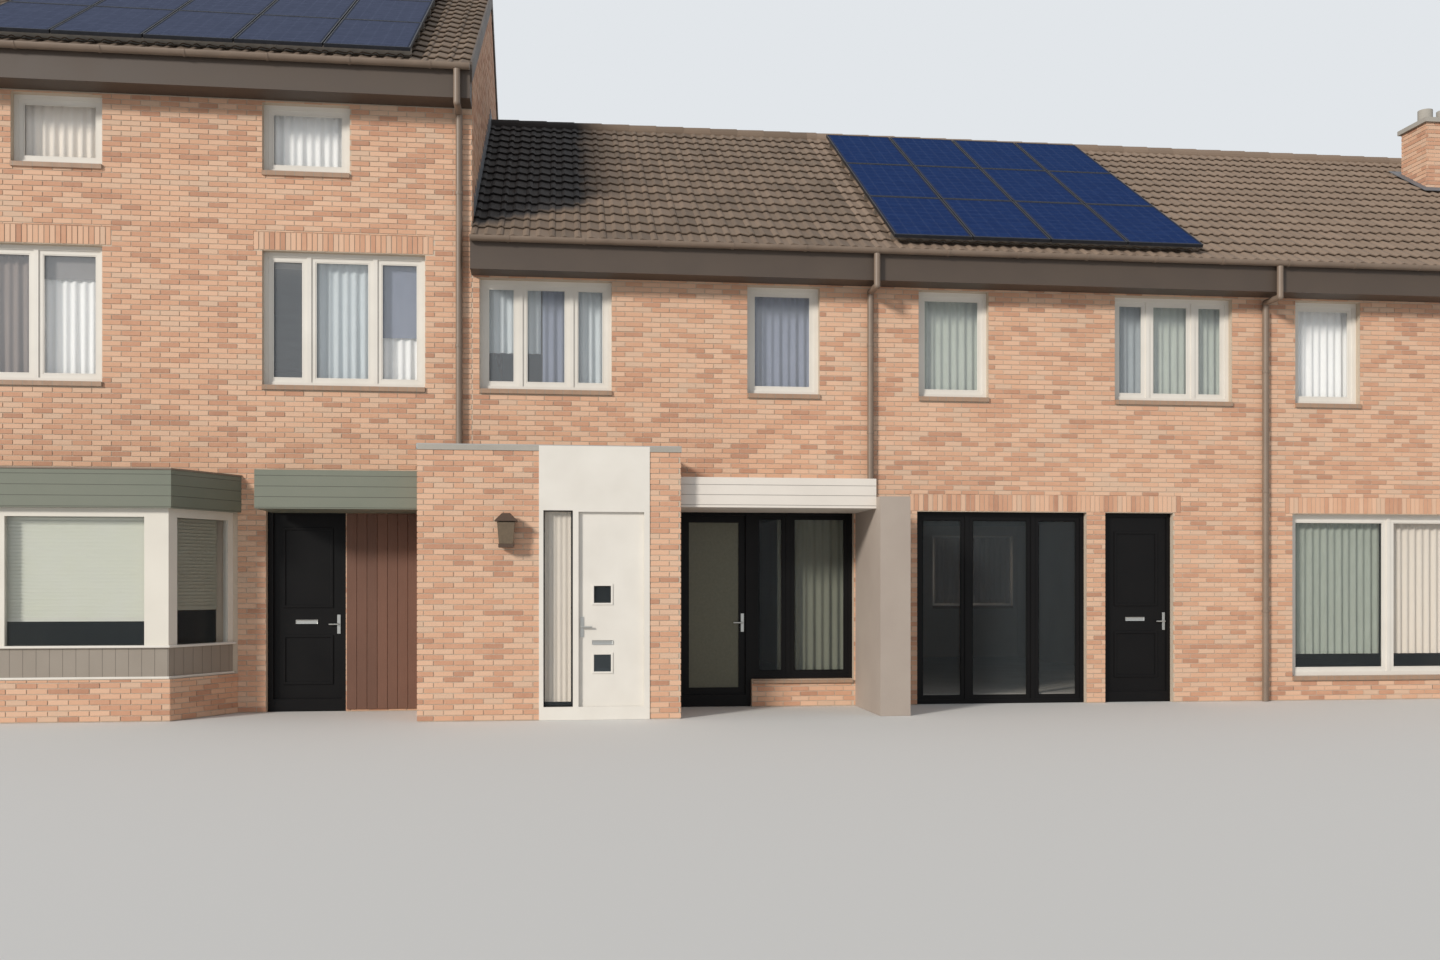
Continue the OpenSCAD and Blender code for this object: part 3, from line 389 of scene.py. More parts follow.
work = Brickwork()
gable(work, LEFT_END, WEST, 0, 10.5, TALL_EAVES)
work.make("left_gable_bricks")
work = Brickwork()
gable(work, RIGHT_END, EAST, 0, 8.5, LOW_EAVES)
gable(work, TALL_SIDE, EAST, 5.3, 10.5, TALL_EAVES)
for y, out, foot in ((STACK_FRONT, FRONT, STACK_LOW), (STACK_BACK, BACK, STACK_HIGH)):
    work.lay((0, y, 0), EAST, out, STACK_L - PROUD, RIGHT_END + PROUD, foot, STACK_TOP)
for x, out in ((STACK_L, WEST), (RIGHT_END, EAST)):
    work.lay((x, 0, 0), BACK, out, STACK_FRONT, STACK_BACK, STACK_LOW, STACK_TOP)
work.make("right_gable_bricks")


# Roof tiles. Brown concrete interlocking tiles with two rolls each, hung on battens in straight rows,
# 300 mm wide with 340 mm of each one showing. The lower edge lies on the row below.
def modified(piece, kind, **settings):
    """Applies one modifier to a piece, such as its thickness or its eased edges."""
    bpy.context.view_layer.objects.active = piece
    change = piece.modifiers.new(kind.lower(), kind)
    for key, value in settings.items():
        setattr(change, key, value)
    bpy.ops.object.modifier_apply(modifier=change.name)


def repeat(name, unit, places, material):
    """Joins copies of a modelled unit, one for each place given as (origin, x axis, y axis, z axis)."""
    count = len(unit.data.vertices)
    rest = np.array([corner.co for corner in unit.data.vertices])
    sides = [list(p.vertices) for p in unit.data.polygons]
    points = np.concatenate([rest @ np.array([x, y, z], float) + np.array(o, float) for o, x, y, z in places])
    faces = [[v + i * count for v in s] for i in range(len(places)) for s in sides]
    tones = np.repeat([chance.random() for _ in places], count)
    piece = built(name, points.tolist(), faces, tones)
    fit(piece, material)
    return piece


# How far across the tile and how high, then how far up the slope and how high
ROLLS = [(0.0, 0.0), (0.02, 0.015), (0.045, 0.022), (0.07, 0.015), (0.085, 0.0), (0.15, 0.0),
         (0.17, 0.015), (0.195, 0.022), (0.22, 0.015), (0.302, 0.0)]
TILE_HEAD, TILE_NOSE = (0.352, -0.014), (-0.022, 0.016)
TILE_W, ROWS = 0.30, 16
bpy.ops.mesh.primitive_grid_add(x_subdivisions=9, y_subdivisions=1, size=1)
tile = bpy.context.object
for corner in tile.data.vertices:
    aside, roll = ROLLS[round((corner.co.x + 0.5) * 9)]
    up, lift = TILE_HEAD if corner.co.y > 0 else TILE_NOSE
    corner.co = (aside, up, roll + lift)
modified(tile, "SOLIDIFY", thickness=0.013, offset=-1)

clay = Paint("brown concrete roof tile")
speck, lichen = clay.noise(0.008, 7, 0.7), clay.noise(0.35, 5, 0.6)
wear_and_painted_shadow = clay.shades(clay.own_tone(), (0.0, srgb(94, 76, 62)), (0.5, srgb(114, 94, 78)), (1.0, srgb(128, 107, 90)))
wear_and_painted_shadow = clay.blend(clay.steady(0.0, 0.5, lichen), wear_and_painted_shadow, srgb(98, 88, 74))
wear_and_painted_shadow = clay.blend(clay.steady(0.0, 0.25, speck), wear_and_painted_shadow, srgb(160, 142, 124))
# The roofs of the two right houses were laid later and are less dark
wear_and_painted_shadow = clay.blend((clay.along("X") > 0.0) * 0.35, wear_and_painted_shadow, srgb(156, 134, 116))
# Beside the tall house's wall the tiles are painted near black as the tall house's shadow, down to a slanting edge
across, deep = clay.along("X"), clay.along("Y")
painted_shadow_right = ((-3.42 - across + (lichen - 0.5) * 0.3) / 0.22).held()
painted_shadow_low = ((deep + 4.36 - (across + 4.74) * 0.62) / 0.25).held()
painted_shadow_area = painted_shadow_right * painted_shadow_low * (across > TALL_SIDE) * (deep < 0.0)
wear_and_painted_shadow = clay.blend(painted_shadow_area * 0.93, wear_and_painted_shadow, srgb(18, 17, 20))
tile_coat = clay.finish(Base_Color=wear_and_painted_shadow, Roughness=clay.steady(0.75, 0.95, speck), bump=speck, depth=0.003)
dress(tile_coat, "roof_1", "roof_2", "roof_3", "roof_4")


def slope_places(x0, x1, edge_z, side):
    """Places for tiles over the front slope, -1, or the back one, 1, row by row up from the eaves."""
    across = np.array((-side, 0, 0), float)
    up = np.array((0, -side * math.cos(PITCH), math.sin(PITCH)))
    off = np.array((0, side * math.sin(PITCH), math.cos(PITCH)))
    edge = np.array((x1 if side > 0 else x0, side * (HALF + RUN), edge_z))
    gauge = (HALF + RUN) / math.cos(PITCH) / ROWS
    columns = round((x1 - x0) / TILE_W)
    width = (x1 - x0) / columns
    return [(edge + across * (c * width) + up * (r * gauge), across * (width / TILE_W), up, off)
            for r in range(ROWS) for c in range(columns)]


for number, x0, x1, edge_z in ((1, LEFT_END, TALL_SIDE, TALL_EAVES), (2, TALL_SIDE, 0.0, LOW_EAVES),
                               (3, 0.0, 5.1, LOW_EAVES), (4, 5.1, RIGHT_END, LOW_EAVES)):
    for side, face in ((-1, "front"), (1, "back")):
        places = slope_places(x0, x1, edge_z, side)
        if number == 4:  # none under the chimney
            places = [p for p in places if not (STACK_L < p[0][0] < 10.1 and -1.5 < p[0][1] < -1.1)]
        repeat(f"roof_tiles_{number}_{face}", tile, places, tile_coat)
bpy.data.objects.remove(tile)


# Ridge. Half-round tiles of the same brown concrete, 420 mm long, bedded in mortar along the tops of
# both roofs with each one lapping over the next. They stand for the plain caps of the frame.
RIDGE_L, RIDGE_BED = 0.42, 0.05
ROOFS = ((LEFT_END, TALL_SIDE, TALL_EAVES), (TALL_SIDE, RIGHT_END, LOW_EAVES))
bpy.ops.object.select_all(action="DESELECT")
bpy.ops.mesh.primitive_cylinder_add(vertices=20, radius=0.118, depth=0.43, end_fill_type="NOTHING",
                                    location=(0.215, 0, 0), rotation=(0, math.pi / 2, 0))
ridge = bpy.context.object
bpy.ops.object.transform_apply(location=True, rotation=True, scale=True)
bpy.ops.object.mode_set(mode="EDIT")
bpy.ops.mesh.select_all(action="SELECT")
bpy.ops.mesh.bisect(plane_co=(0, 0, -0.04), plane_no=(0, 0, 1), clear_inner=True)
bpy.ops.object.mode_set(mode="OBJECT")
for corner in ridge.data.vertices:
    corner.co.z += 0.010 if corner.co.x > 0.2 else 0
modified(ridge, "SOLIDIFY", thickness=0.016, offset=-1)
places = []
for x0, x1, edge_z in ROOFS:
    bed = edge_z + (HALF + RUN) * SLOPE - RIDGE_BED
    count = round((x1 - x0) / RIDGE_L)
    length = (x1 - x0) / count
    places += [((x0 + i * length, 0, bed), (length / RIDGE_L, 0, 0), (0, 1, 0), (0, 0, 1))
               for i in range(count)]
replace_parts(repeat("ridge_tiles", ridge, places, tile_coat), "ridge_caps")
bpy.data.objects.remove(ridge)


# Eaves, verges and rainwater. Dark brown painted boards box in the eaves, with boards of the same
# paint up the open edges of the roofs. The half-round gutters and round pipes are brown plastic.
boards = Paint("dark brown board paint")
dull = boards.noise(0.5, 3)
dress(boards.finish(
    Base_Color=boards.blend(boards.steady(0.1, 0.7, dull), srgb(68, 57, 49), srgb(90, 77, 66)),
    Roughness=boards.steady(0.45, 0.7, dull), bump=boards.noise(0.03, 4, 0.6, (1, 1, 6)), depth=0.001),
      "eaves_boards", "verge_boards")
rain_coat = mottled("grey brown gutter plastic", (112, 96, 83), (140, 122, 106), (0.35, 0.6),
                    spots=(0.25, 4), grain=(0.01, 3), depth=0.0003)
dress(rain_coat, "gutters", "downpipes")


# Window frames, sills and glass. White painted softwood frames with sashes, sand coloured sills of
# glazed tile, and double glazing that mirrors the sky a little, with a painted sky reflection that makes
# the upper panes pale. The glazed door's pane is cast glass.
BRUSHED_UPRIGHT = (0.004, 3, 0.5, (1, 1, 0.1))
white_coat = mottled("white window paint", (214, 208, 198), (230, 225, 216), (0.35, 0.55),
                     spots=(0.4, 3), grain=BRUSHED_UPRIGHT, depth=0.0004)
dress(white_coat, "window_frames", "door_frame_2", "door_2")

glazed = Paint("window glass")
# Panes above 3.2 m are pale, a painted reflection of the sky; those below are dark
ripple, upstairs_painted_reflection = glazed.noise(0.8, 2), glazed.along("Z") > 3.2
dress(glazed.finish(
    Base_Color=glazed.blend(upstairs_painted_reflection, glazed.blend(ripple, srgb(84, 92, 96), srgb(100, 108, 112)),
                            glazed.blend(ripple, srgb(196, 204, 212), srgb(216, 222, 228))),
    Roughness=glazed.steady(0.02, 0.05, ripple), Alpha=0.12, bump=ripple, depth=0.002),
      "window_glass", "bay_glass", "door_2_light")
dress(mottled("obscured door glass", (92, 91, 72), (112, 111, 90), (0.25, 0.4), spots=(0.03, 3, 0.6),
              depth=0.002, Alpha=0.85), "glazed_door_2_pane")

ledge = Paint("window sill tile")
glaze, gap = ledge.noise(0.12, 4), ledge.along("X") % 0.11 < 0.006
sill_coat = ledge.finish(
    Base_Color=ledge.blend(gap, ledge.blend(glaze, srgb(150, 120, 98), srgb(172, 142, 118)), srgb(150, 140, 126)),
    Roughness=ledge.steady(0.3, 0.5, glaze), bump=glaze - gap, depth=0.003)
dress(sill_coat, "window_sills")


# Concrete. The ground floors, the upper floors, the hall's flat roof and the slab on the chimney are
# cast in plain grey concrete, with fine pores and cloudy tones.
dress(mottled("plain concrete", (150, 145, 136), (182, 176, 166), (0.8, 0.95), spots=(0.5, 5),
              grain=(0.01, 6, 0.7), depth=0.002, rough_grain=True),
      "ground_floors", "upper_floors", "hall_and_bay_floors", "hall_roof", "chimney_cap")


# Porches and bay roof. Boxed edges of grey green boards at the tall house and of white boards at the
# second house, grooved every 120 mm, with a grey brown rendered wall beside the white one.
def board_paint(name, low, high, groove):
    paint = Paint(name)
    tint, wear = paint.noise(0.6, 4), paint.noise(0.02, 4, 0.6)
    seam = paint.along("Z") % groove < 0.006
    return paint.finish(
        Base_Color=paint.blend(seam * 0.5, paint.blend(tint, srgb(*low), srgb(*high)), srgb(60, 56, 50)),
        Roughness=paint.steady(0.4, 0.65, wear), bump=wear * 0.2 - seam, depth=0.004)


dress(board_paint("grey green board paint", (108, 113, 99), (124, 126, 112), 0.12), "bay_roof", "porch_canopy_1")
dress(board_paint("white canopy board paint", (214, 206, 196), (228, 220, 210), 0.117), "porch_canopy_2")
dress(mottled("grey brown render", (156, 142, 132), (176, 164, 152), (0.8, 0.95), spots=(0.7, 4),
              grain=(0.02, 7, 0.7), depth=0.003, rough_grain=True), "porch_side_wall")


# Doors. Near black painted doors and dark frames, a white door with a small square light, and satin
# aluminium handles, of the same metal as the rails under the solar panels.
dark_coat = mottled("near black door paint", (13, 12, 13), (21, 20, 20), (0.35, 0.55), spots=(0.5, 3),
                    grain=BRUSHED_UPRIGHT, depth=0.0003, Specular_IOR_Level=0.15)
dress(dark_coat, "door_frame_1", "door_1", "dark_frames", "glazed_door_2", "fixed_doors")
metal = Paint("satin aluminium")
brushing = metal.noise(0.003, 3, 0.5, (1, 1, 0.2))
metal_coat = metal.finish(Base_Color=srgb(190, 190, 186), Metallic=1.0,
                          Roughness=metal.steady(0.28, 0.4, brushing), bump=brushing, depth=0.0002)
dress(metal_coat, "door_1_handles", "door_2_handles", "glazed_door_2_handles", "panel_rails")


# Boarding beside the black door. Upright red brown stained boards of 117 mm under the canopy, each
# with eased edges, nailed side by side to battens on the wall, 30 mm clear of the ground.
def block(middle, size, ease, material=None, turn=0.0, segments=2):
    """A rectangular block with eased edges, turned about its upright axis."""
    bpy.ops.object.select_all(action="DESELECT")
    bpy.ops.mesh.primitive_cube_add(size=1, location=middle, rotation=(0, 0, turn))
    piece = bpy.context.object
    piece.scale = size
    bpy.ops.object.transform_apply(location=True, rotation=True, scale=True)
    modified(piece, "BEVEL", width=ease, segments=segments)
    if material:
        piece.data.materials.append(material)
    return piece


stained = Paint("red brown stained board")
board_grain, bleached = stained.noise(0.012, 5, 0.6, (1, 1, 0.06)), stained.noise(0.6, 3)
stain_shade = stained.blend(stained.own_tone(), srgb(92, 61, 46), srgb(116, 79, 61))
stain_shade = stained.blend(stained.steady(0.0, 0.35, board_grain), stain_shade, srgb(70, 45, 34))
stain_shade = stained.blend(stained.steady(0.0, 0.3, bleached), stain_shade, srgb(146, 106, 86))
stain_coat = stained.finish(Base_Color=stain_shade, Roughness=stained.steady(0.5, 0.75, board_grain),
                            bump=board_grain, depth=0.001)
BOARD_X, BOARD_Y, BOARD_STEP, BOARDS = -6.373, -4.3175, 0.1203, 8
STRAIGHT = ((1, 0, 0), (0, 1, 0), (0, 0, 1))
plank = block((0, 0, 1.207), (0.117, 0.019, 2.354), 0.004)
repeat("porch_boarding", plank, [((BOARD_X + i * BOARD_STEP, BOARD_Y, 0), *STRAIGHT) for i in range(BOARDS)],
       stain_coat)
bpy.data.objects.remove(plank)


# Solar panels. Glass panels of 1.00 by 1.65 m with square cells of 156 mm, 20 mm apart on their
# rails: grey blue on the tall house and deep blue on the third one.
PANEL_ACROSS, PANEL_UP, PANEL_FOOT = 1.02, 1.67, 0.15
PANELS_1, PANELS_3 = (-10.74, TALL_EAVES), (0.26, LOW_EAVES)


def cells(name, low, high, sheen, x0, edge_z):
    paint = Paint(name)
    centred = paint.add("ShaderNodeMapping", {"vector_type": "TEXTURE"}, {
        "Vector": paint.place, "Location": (x0, -(HALF + RUN), edge_z), "Rotation": (PITCH, 0, 0)})
    col = paint.along("X", centred) % PANEL_ACROSS
    row = (paint.along("Y", centred) - PANEL_FOOT) % PANEL_UP
    rim = (col < 0.035) + (col > 0.965) + (row < 0.035) + (row > 1.615)
    line = ((col - 0.035) % 0.155 < 0.005) + ((row - 0.035) % 0.158 < 0.005)
    wafer = paint.noise(0.16, 2)
    shade = paint.blend(line.held() * 0.5, paint.blend(wafer, srgb(*low), srgb(*high)), srgb(104, 112, 134))
    return paint.finish(Base_Color=paint.blend(rim.held(), shade, srgb(54, 58, 70)), Metallic=0.25,
                        Roughness=paint.steady(0.22, 0.32, wafer), Specular_IOR_Level=0.0,
                        Specular_Tint=srgb(*sheen))


dress(cells("grey blue solar cells", (64, 70, 88), (80, 86, 106), (150, 156, 172), *PANELS_1), "solar_panels_1")
dress(cells("deep blue solar cells", (36, 54, 88), (46, 66, 104), (110, 140, 185), *PANELS_3), "solar_panels_3")


# Bay window joinery. White corner posts and frames over a panel of beige grey upright boards, with a
# moulded sill board between them that is nosed at its edge and mitred at both corners.
bay_paint = Paint("bay window paint")
low_panel, splayed = bay_paint.along("Z") < 0.835, bay_paint.along("Y") > -5.145
seam_front, seam_splay = bay_paint.along("X") % 0.14 < 0.006, bay_paint.along("Y") % 0.121 < 0.005
board_seam = (seam_front * (1 - splayed) + seam_splay * splayed) * low_panel
faded = bay_paint.noise(0.5, 4)
bay_white = bay_paint.blend(faded, srgb(214, 208, 196), srgb(228, 222, 210))
bay_beige = bay_paint.blend(faded, srgb(140, 130, 118), srgb(158, 148, 136))
bay_beige = bay_paint.blend(board_seam * 0.6, bay_beige, srgb(84, 76, 68))
dress(bay_paint.finish(Base_Color=bay_paint.blend(low_panel, bay_white, bay_beige),
                       Roughness=bay_paint.steady(0.35, 0.55, faded), bump=faded * 0.1 - board_seam,
                       depth=0.004), "bay_frame")


def bay_outline(inset, z):
    """The bay's outline drawn in by an inset, from the left end at the wall to the right one."""
    end = inset * BAY_SIDE / BAY_D
    corner = end + BAY_SPLAY * (BAY_D - inset) / BAY_D
    face = -HALF - BAY_D + inset
    return [(BAY_L + end, -HALF, z), (BAY_L + corner, face, z), (BAY_R - corner, face, z), (BAY_R - end, -HALF, z)]


def bay_board(name, z0, z1, outer, inner, nose, material):
    """A board that runs round the bay between two insets, with mitred corners."""
    rings = [bay_outline(outer, z0), bay_outline(outer, z1), bay_outline(inner, z1), bay_outline(inner, z0)]
    faces = [[a * 4 + i, a * 4 + i + 1, b * 4 + i + 1, b * 4 + i]
             for a, b in ((0, 1), (1, 2), (2, 3), (3, 0)) for i in range(3)]
    piece = built(name, [p for ring in rings for p in ring], faces + [[0, 4, 8, 12], [3, 15, 11, 7]])
    bpy.context.view_layer.objects.active = piece
    piece.select_set(True)
    bpy.ops.object.mode_set(mode="EDIT")
    bpy.ops.mesh.select_all(action="SELECT")
    bpy.ops.mesh.normals_make_consistent(inside=False)
    bpy.ops.object.mode_set(mode="OBJECT")
    piece.select_set(False)
    modified(piece, "BEVEL", width=nose, segments=2, limit_method="ANGLE")
    fit(piece, material)


bpy.ops.object.select_all(action="DESELECT")
bay_board("bay_sill_board", 0.822, 0.85, 0.012, 0.06, 0.009, white_coat)
bay_board("bay_skirting", 0.472, 0.50, 0.03, 0.06, 0.006, white_coat)
bay_board("bay_roof_trim", 2.815, 2.835, -0.05, 0.0, 0.003, rain_coat)


# Curtains. Pleated cotton and net, hung from white rails just behind the panes, each cut wider than its
# window so that it falls in even folds. Two flat roller blinds hang between them and the glass.
def weave(name, low, high):
    cloth = Paint(name)
    slub = cloth.noise(0.05, 4, 0.6, (1, 1, 0.2))
    return cloth.finish(Base_Color=cloth.blend(slub, srgb(*low), srgb(*high)), Roughness=0.9,
                        bump=cloth.noise(0.002, 3), depth=0.0006)


white_cotton = weave("white cotton", (248, 247, 243), (254, 253, 250))
cream_cotton = weave("cream cotton", (242, 230, 214), (250, 240, 226))
pale_net = weave("pale net", (190, 198, 200), (216, 223, 224))
grey_net = weave("grey net", (140, 148, 150), (164, 171, 172))
green_net = weave("green white net", (160, 167, 154), (186, 193, 180))
taupe_cotton = weave("taupe cotton", (126, 113, 105), (148, 134, 125))
grey_blind = weave("grey blind cloth", (132, 128, 126), (150, 146, 143))
olive_net = weave("olive net", (112, 114, 98), (130, 132, 114))
blue_cotton = weave("blue grey cotton", (118, 124, 142), (140, 146, 162))
hooks = []


def join(name, parts):
    """Makes one piece of its parts, which rides on the houses."""
    bpy.ops.object.select_all(action="DESELECT")
    for p in parts:
        p.select_set(True)
    bpy.context.view_layer.objects.active = parts[0]
    bpy.ops.object.join()
    parts[0].name = name
    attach(parts[0], "houses")
    bpy.ops.object.select_all(action="DESELECT")


def hang(name, x0, x1, z0, z1, material, y=-4.06, fold=0.105, swing=0.02):
    """A pleated curtain from x0 to x1 with its hem at z0, on a rail at z1."""
    columns = max(16, round((x1 - x0) / fold * 8))
    bpy.ops.object.select_all(action="DESELECT")
    bpy.ops.mesh.primitive_grid_add(x_subdivisions=columns, y_subdivisions=8, size=1)
    piece = bpy.context.object
    piece.name = name
    start = chance.uniform(0, 6)
    for corner in piece.data.vertices:
        u, v = corner.co.x + 0.5, corner.co.y + 0.5
        x = x0 + u * (x1 - x0)
        wave = math.sin(start + x / fold * 2 * math.pi) + 0.3 * math.sin(x * 31 + start)
        corner.co = (x, y + swing * wave * (0.6 + 0.4 * (1 - v)), z0 + v * (z1 - z0))
    piece.data.polygons.foreach_set("use_smooth", [True] * len(piece.data.polygons))
    area = sum(p.area for p in piece.data.polygons)
    fit(piece, material)
    hooks.append((x0, x1, y, z1))
    return piece, (area / (z1 - z0), z1 - z0)


# The hems and rails of the curtains on each floor
HEM, TALL_RAIL, RAIL = 3.98, 5.50, 5.24
TOP_HEM, TOP_RAIL, LOW_HEM, LOW_RAIL = 6.50, 7.28, 1.16, 2.42
FLAT = {"y": -4.095, "swing": 0.0}
curtains = [
    hang("curtain_tall_left_a", -10.78, -10.04, HEM, TALL_RAIL, taupe_cotton),
    hang("curtain_tall_left_b", -9.98, -9.30, HEM, 5.20, white_cotton),
    hang("blind_tall_left", -9.99, -9.29, 5.16, TALL_RAIL, grey_blind, **FLAT),
    hang("curtain_tall_wide_a", -6.86, -6.10, HEM, TALL_RAIL, pale_net),
    hang("curtain_tall_wide_b", -6.05, -5.57, HEM, 4.70, white_cotton),
    hang("blind_tall_wide", -6.06, -5.56, 4.55, TALL_RAIL, blue_cotton, **FLAT),
    hang("curtain_top_left", -10.22, -9.28, TOP_HEM, TOP_RAIL, cream_cotton),
    hang("curtain_top_right", -7.38, -6.44, TOP_HEM, TOP_RAIL, white_cotton),
    hang("curtain_second_wide_a", -4.82, -4.12, 4.40, RAIL, pale_net),
    hang("curtain_second_wide_b", -4.10, -3.68, HEM, RAIL, blue_cotton),
    hang("curtain_second_wide_c", -3.66, -3.30, HEM, RAIL, pale_net),
    hang("curtain_second_narrow", -1.52, -0.68, HEM, RAIL, blue_cotton),
    hang("curtain_third_narrow", 0.68, 1.52, HEM, RAIL, green_net),
    hang("curtain_third_wide_a", 3.30, 3.82, HEM, RAIL, grey_net),
    hang("curtain_third_wide_b", 3.84, 4.82, HEM, RAIL, green_net),
    hang("curtain_last_narrow", 5.78, 6.62, HEM, RAIL, white_cotton),
    hang("curtain_last_wide", 8.40, 9.92, HEM, RAIL, cream_cotton),
    hang("curtain_last_large_a", 5.76, 7.10, 0.60, LOW_RAIL, green_net),
    hang("curtain_last_large_b", 7.13, 8.40, 0.60, LOW_RAIL, cream_cotton),
    hang("curtain_dark_glazing", -1.14, -0.27, 0.40, 2.38, olive_net),
    hang("curtain_hall_side", -4.06, -3.76, 0.20, 2.36, cream_cotton, y=-5.50, fold=0.06, swing=0.006),
]
back_hung = [(-10.80, -9.30, HEM, TALL_RAIL), (-7.36, -5.57, HEM, TALL_RAIL), (-10.22, -9.28, TOP_HEM, TOP_RAIL),
             (-7.38, -6.44, TOP_HEM, TOP_RAIL), (-10.80, -9.30, LOW_HEM, LOW_RAIL)]
for openings, hem, rail in ((UPPER, HEM, RAIL), (BACK_LOW, LOW_HEM, LOW_RAIL)):
    back_hung += [(x0 + 0.05, x1 - 0.05, hem, rail) for x0, x1, z0, z1 in openings if x0 > -5]
for i, sizes in enumerate(back_hung):
    cotton = (cream_cotton, pale_net, green_net)[i % 3]
    curtains.append(hang(f"curtain_back_{i + 1}", *sizes, cotton, y=4.06))
join("curtain_rails", [block(((x0 + x1) / 2, y, z + 0.012), (x1 - x0 + 0.03, 0.022, 0.024), 0.006, white_coat)
                       for x0, x1, y, z in hooks])


# Slatted blinds in the bay. Curved aluminium slats of 50 mm, pale green, with the slats at both sides
# painted greyer as shade, let down to a little above the sill from white head boxes under the bay's roof.
TOP_SLAT, SLAT_STEP, BOX_Z, BLIND_INSET = 2.30, 0.040, 2.35, 0.18
front_slats = mottled("pale green slat enamel", (250, 252, 234), (254, 255, 244), (0.4, 0.6), spots=(0.3, 3))
# The side slats are the same pale green slats, painted greyer as shade
shaded_side_slats = mottled("pale green slat enamel with painted shade", (176, 176, 158), (192, 192, 174), (0.4, 0.6), spots=(0.3, 3))
bpy.ops.object.select_all(action="DESELECT")
bpy.ops.mesh.primitive_grid_add(x_subdivisions=2, y_subdivisions=5, size=1)
slat = bpy.context.object
for corner in slat.data.vertices:
    v = corner.co.y
    corner.co = (corner.co.x, -v * 0.016, v * 0.046 + 0.003 * (1 - 4 * v * v))
modified(slat, "SOLIDIFY", thickness=0.0012)
corners, head_boxes = bay_outline(BLIND_INSET, 0), []
blinds = [("left", 27, shaded_side_slats), ("front", 30, front_slats), ("right", 27, shaded_side_slats)]
for (side, count, coat), (x0, y0, _), (x1, y1, _) in zip(blinds, corners, corners[1:]):
    length = math.hypot(x1 - x0, y1 - y0)
    across, inward = ((x1 - x0) / length, (y1 - y0) / length), (-(y1 - y0) / length, (x1 - x0) / length)
    clear, middle = length - 0.10, ((x0 + x1) / 2, (y0 + y1) / 2)
    drops = [((*middle, TOP_SLAT - i * SLAT_STEP), (across[0] * clear, across[1] * clear, 0), (*inward, 0),
              (0, 0, 1)) for i in range(count)]
    repeat(f"bay_blind_{side}", slat, drops, coat)
    head_boxes.append(block((*middle, BOX_Z), (clear + 0.01, 0.055, 0.045), 0.004, white_coat,
                            math.atan2(across[1], across[0])))
join("bay_blind_head_boxes", head_boxes)
bpy.data.objects.remove(slat)


# Door furniture. Raised mouldings planted on the dark doors, letter plates of satin aluminium, and in
# the white door a second small light of dark glass in a frame of its own paint.
def moulding(name, x0, x1, z0, z1, y, out, material, body="houses", width=0.03, depth=0.014):
    """A mitred frame of moulding on a face at y that looks forwards, -1, or backwards, 1."""
    bpy.ops.object.select_all(action="DESELECT")
    bpy.ops.mesh.primitive_plane_add(size=1)
    piece = bpy.context.object
    piece.name = name
    bpy.ops.object.mode_set(mode="EDIT")
    bpy.ops.mesh.select_all(action="SELECT")
    bpy.ops.mesh.inset(thickness=0.2, depth=0)
    bpy.ops.mesh.delete(type="FACE")
    bpy.ops.object.mode_set(mode="OBJECT")
    for corner in piece.data.vertices:
        u, v = corner.co.x, corner.co.y
        x, z = (x1 if u > 0 else x0), (z1 if v > 0 else z0)
        if abs(u) < 0.4:
            x, z = x - width * math.copysign(1, u), z - width * math.copysign(1, v)
        corner.co = (x, y, z)
    modified(piece, "SOLIDIFY", thickness=depth, offset=-out)
    modified(piece, "BEVEL", width=0.004, segments=2, limit_method="ANGLE")
    fit(piece, material, body)
    return piece


def plate(name, x, z, w, h, y, material, body, deep=0.012):
    """A plate with eased edges whose middle, such as a letter flap, is set in."""
    bpy.ops.object.select_all(action="DESELECT")
    bpy.ops.mesh.primitive_cube_add(size=1, location=(x, y - deep / 2, z))
    piece = bpy.context.object
    piece.name, piece.scale = name, (w, deep, h)
    bpy.ops.object.transform_apply(location=True, rotation=True, scale=True)
    bpy.ops.object.mode_set(mode="EDIT")
    bpy.ops.mesh.select_all(action="DESELECT")
    bpy.ops.object.mode_set(mode="OBJECT")
    for face in piece.data.polygons:
        face.select = face.normal.y < -0.9
    bpy.ops.object.mode_set(mode="EDIT")
    bpy.ops.mesh.inset(thickness=min(w, h) * 0.22, depth=-deep * 0.4)
    bpy.ops.object.mode_set(mode="OBJECT")
    modified(piece, "BEVEL", width=0.0015, segments=2, limit_method="ANGLE")
    fit(piece, material, body)


# The faces of the black leaf, of the doors that stay shut and of the white leaf
LEAF_Y, SHUT_Y, WHITE_Y = -HALF + 0.09 + 0.046, -HALF + 0.09 + 0.018, -5.615 + 0.046
STILE, PANELS = 0.17, (("top", 1.25, 2.22), ("low", 0.32, 0.92))
for name, (x0, x1, _, _) in zip(("black_door", "third_door", "last_door"), FRONT_DOORS):
    body, face = ("black_door", LEAF_Y) if name == "black_door" else ("houses", SHUT_Y)
    for panel, z0, z1 in PANELS:
        moulding(f"{name}_{panel}_moulding", x0 + STILE, x1 - STILE, z0, z1, face, -1, dark_coat,
                 body)
    plate(f"{name}_letter_plate", x0 + 0.45, 1.08, 0.26, 0.05, face, metal_coat, body)
for number, (x0, x1, _, _) in enumerate(BACK_DOORS):
    join(f"back_door_{number + 1}_mouldings",
         [moulding("panel", x0 + STILE, x1 - STILE, z0, z1, -SHUT_Y, 1, dark_coat)
          for _, z0, z1 in PANELS])
smoked_coat = mottled("dark door glass", (36, 43, 46), (46, 53, 57), (0.05, 0.10), spots=(0.4, 2))
LIGHT_X, LIGHT_Z, LOW_LIGHT_Z = -3.405, 1.42, 0.64
plate("white_door_letter_plate", LIGHT_X, 0.875, 0.24, 0.05, WHITE_Y, metal_coat, "white_door")
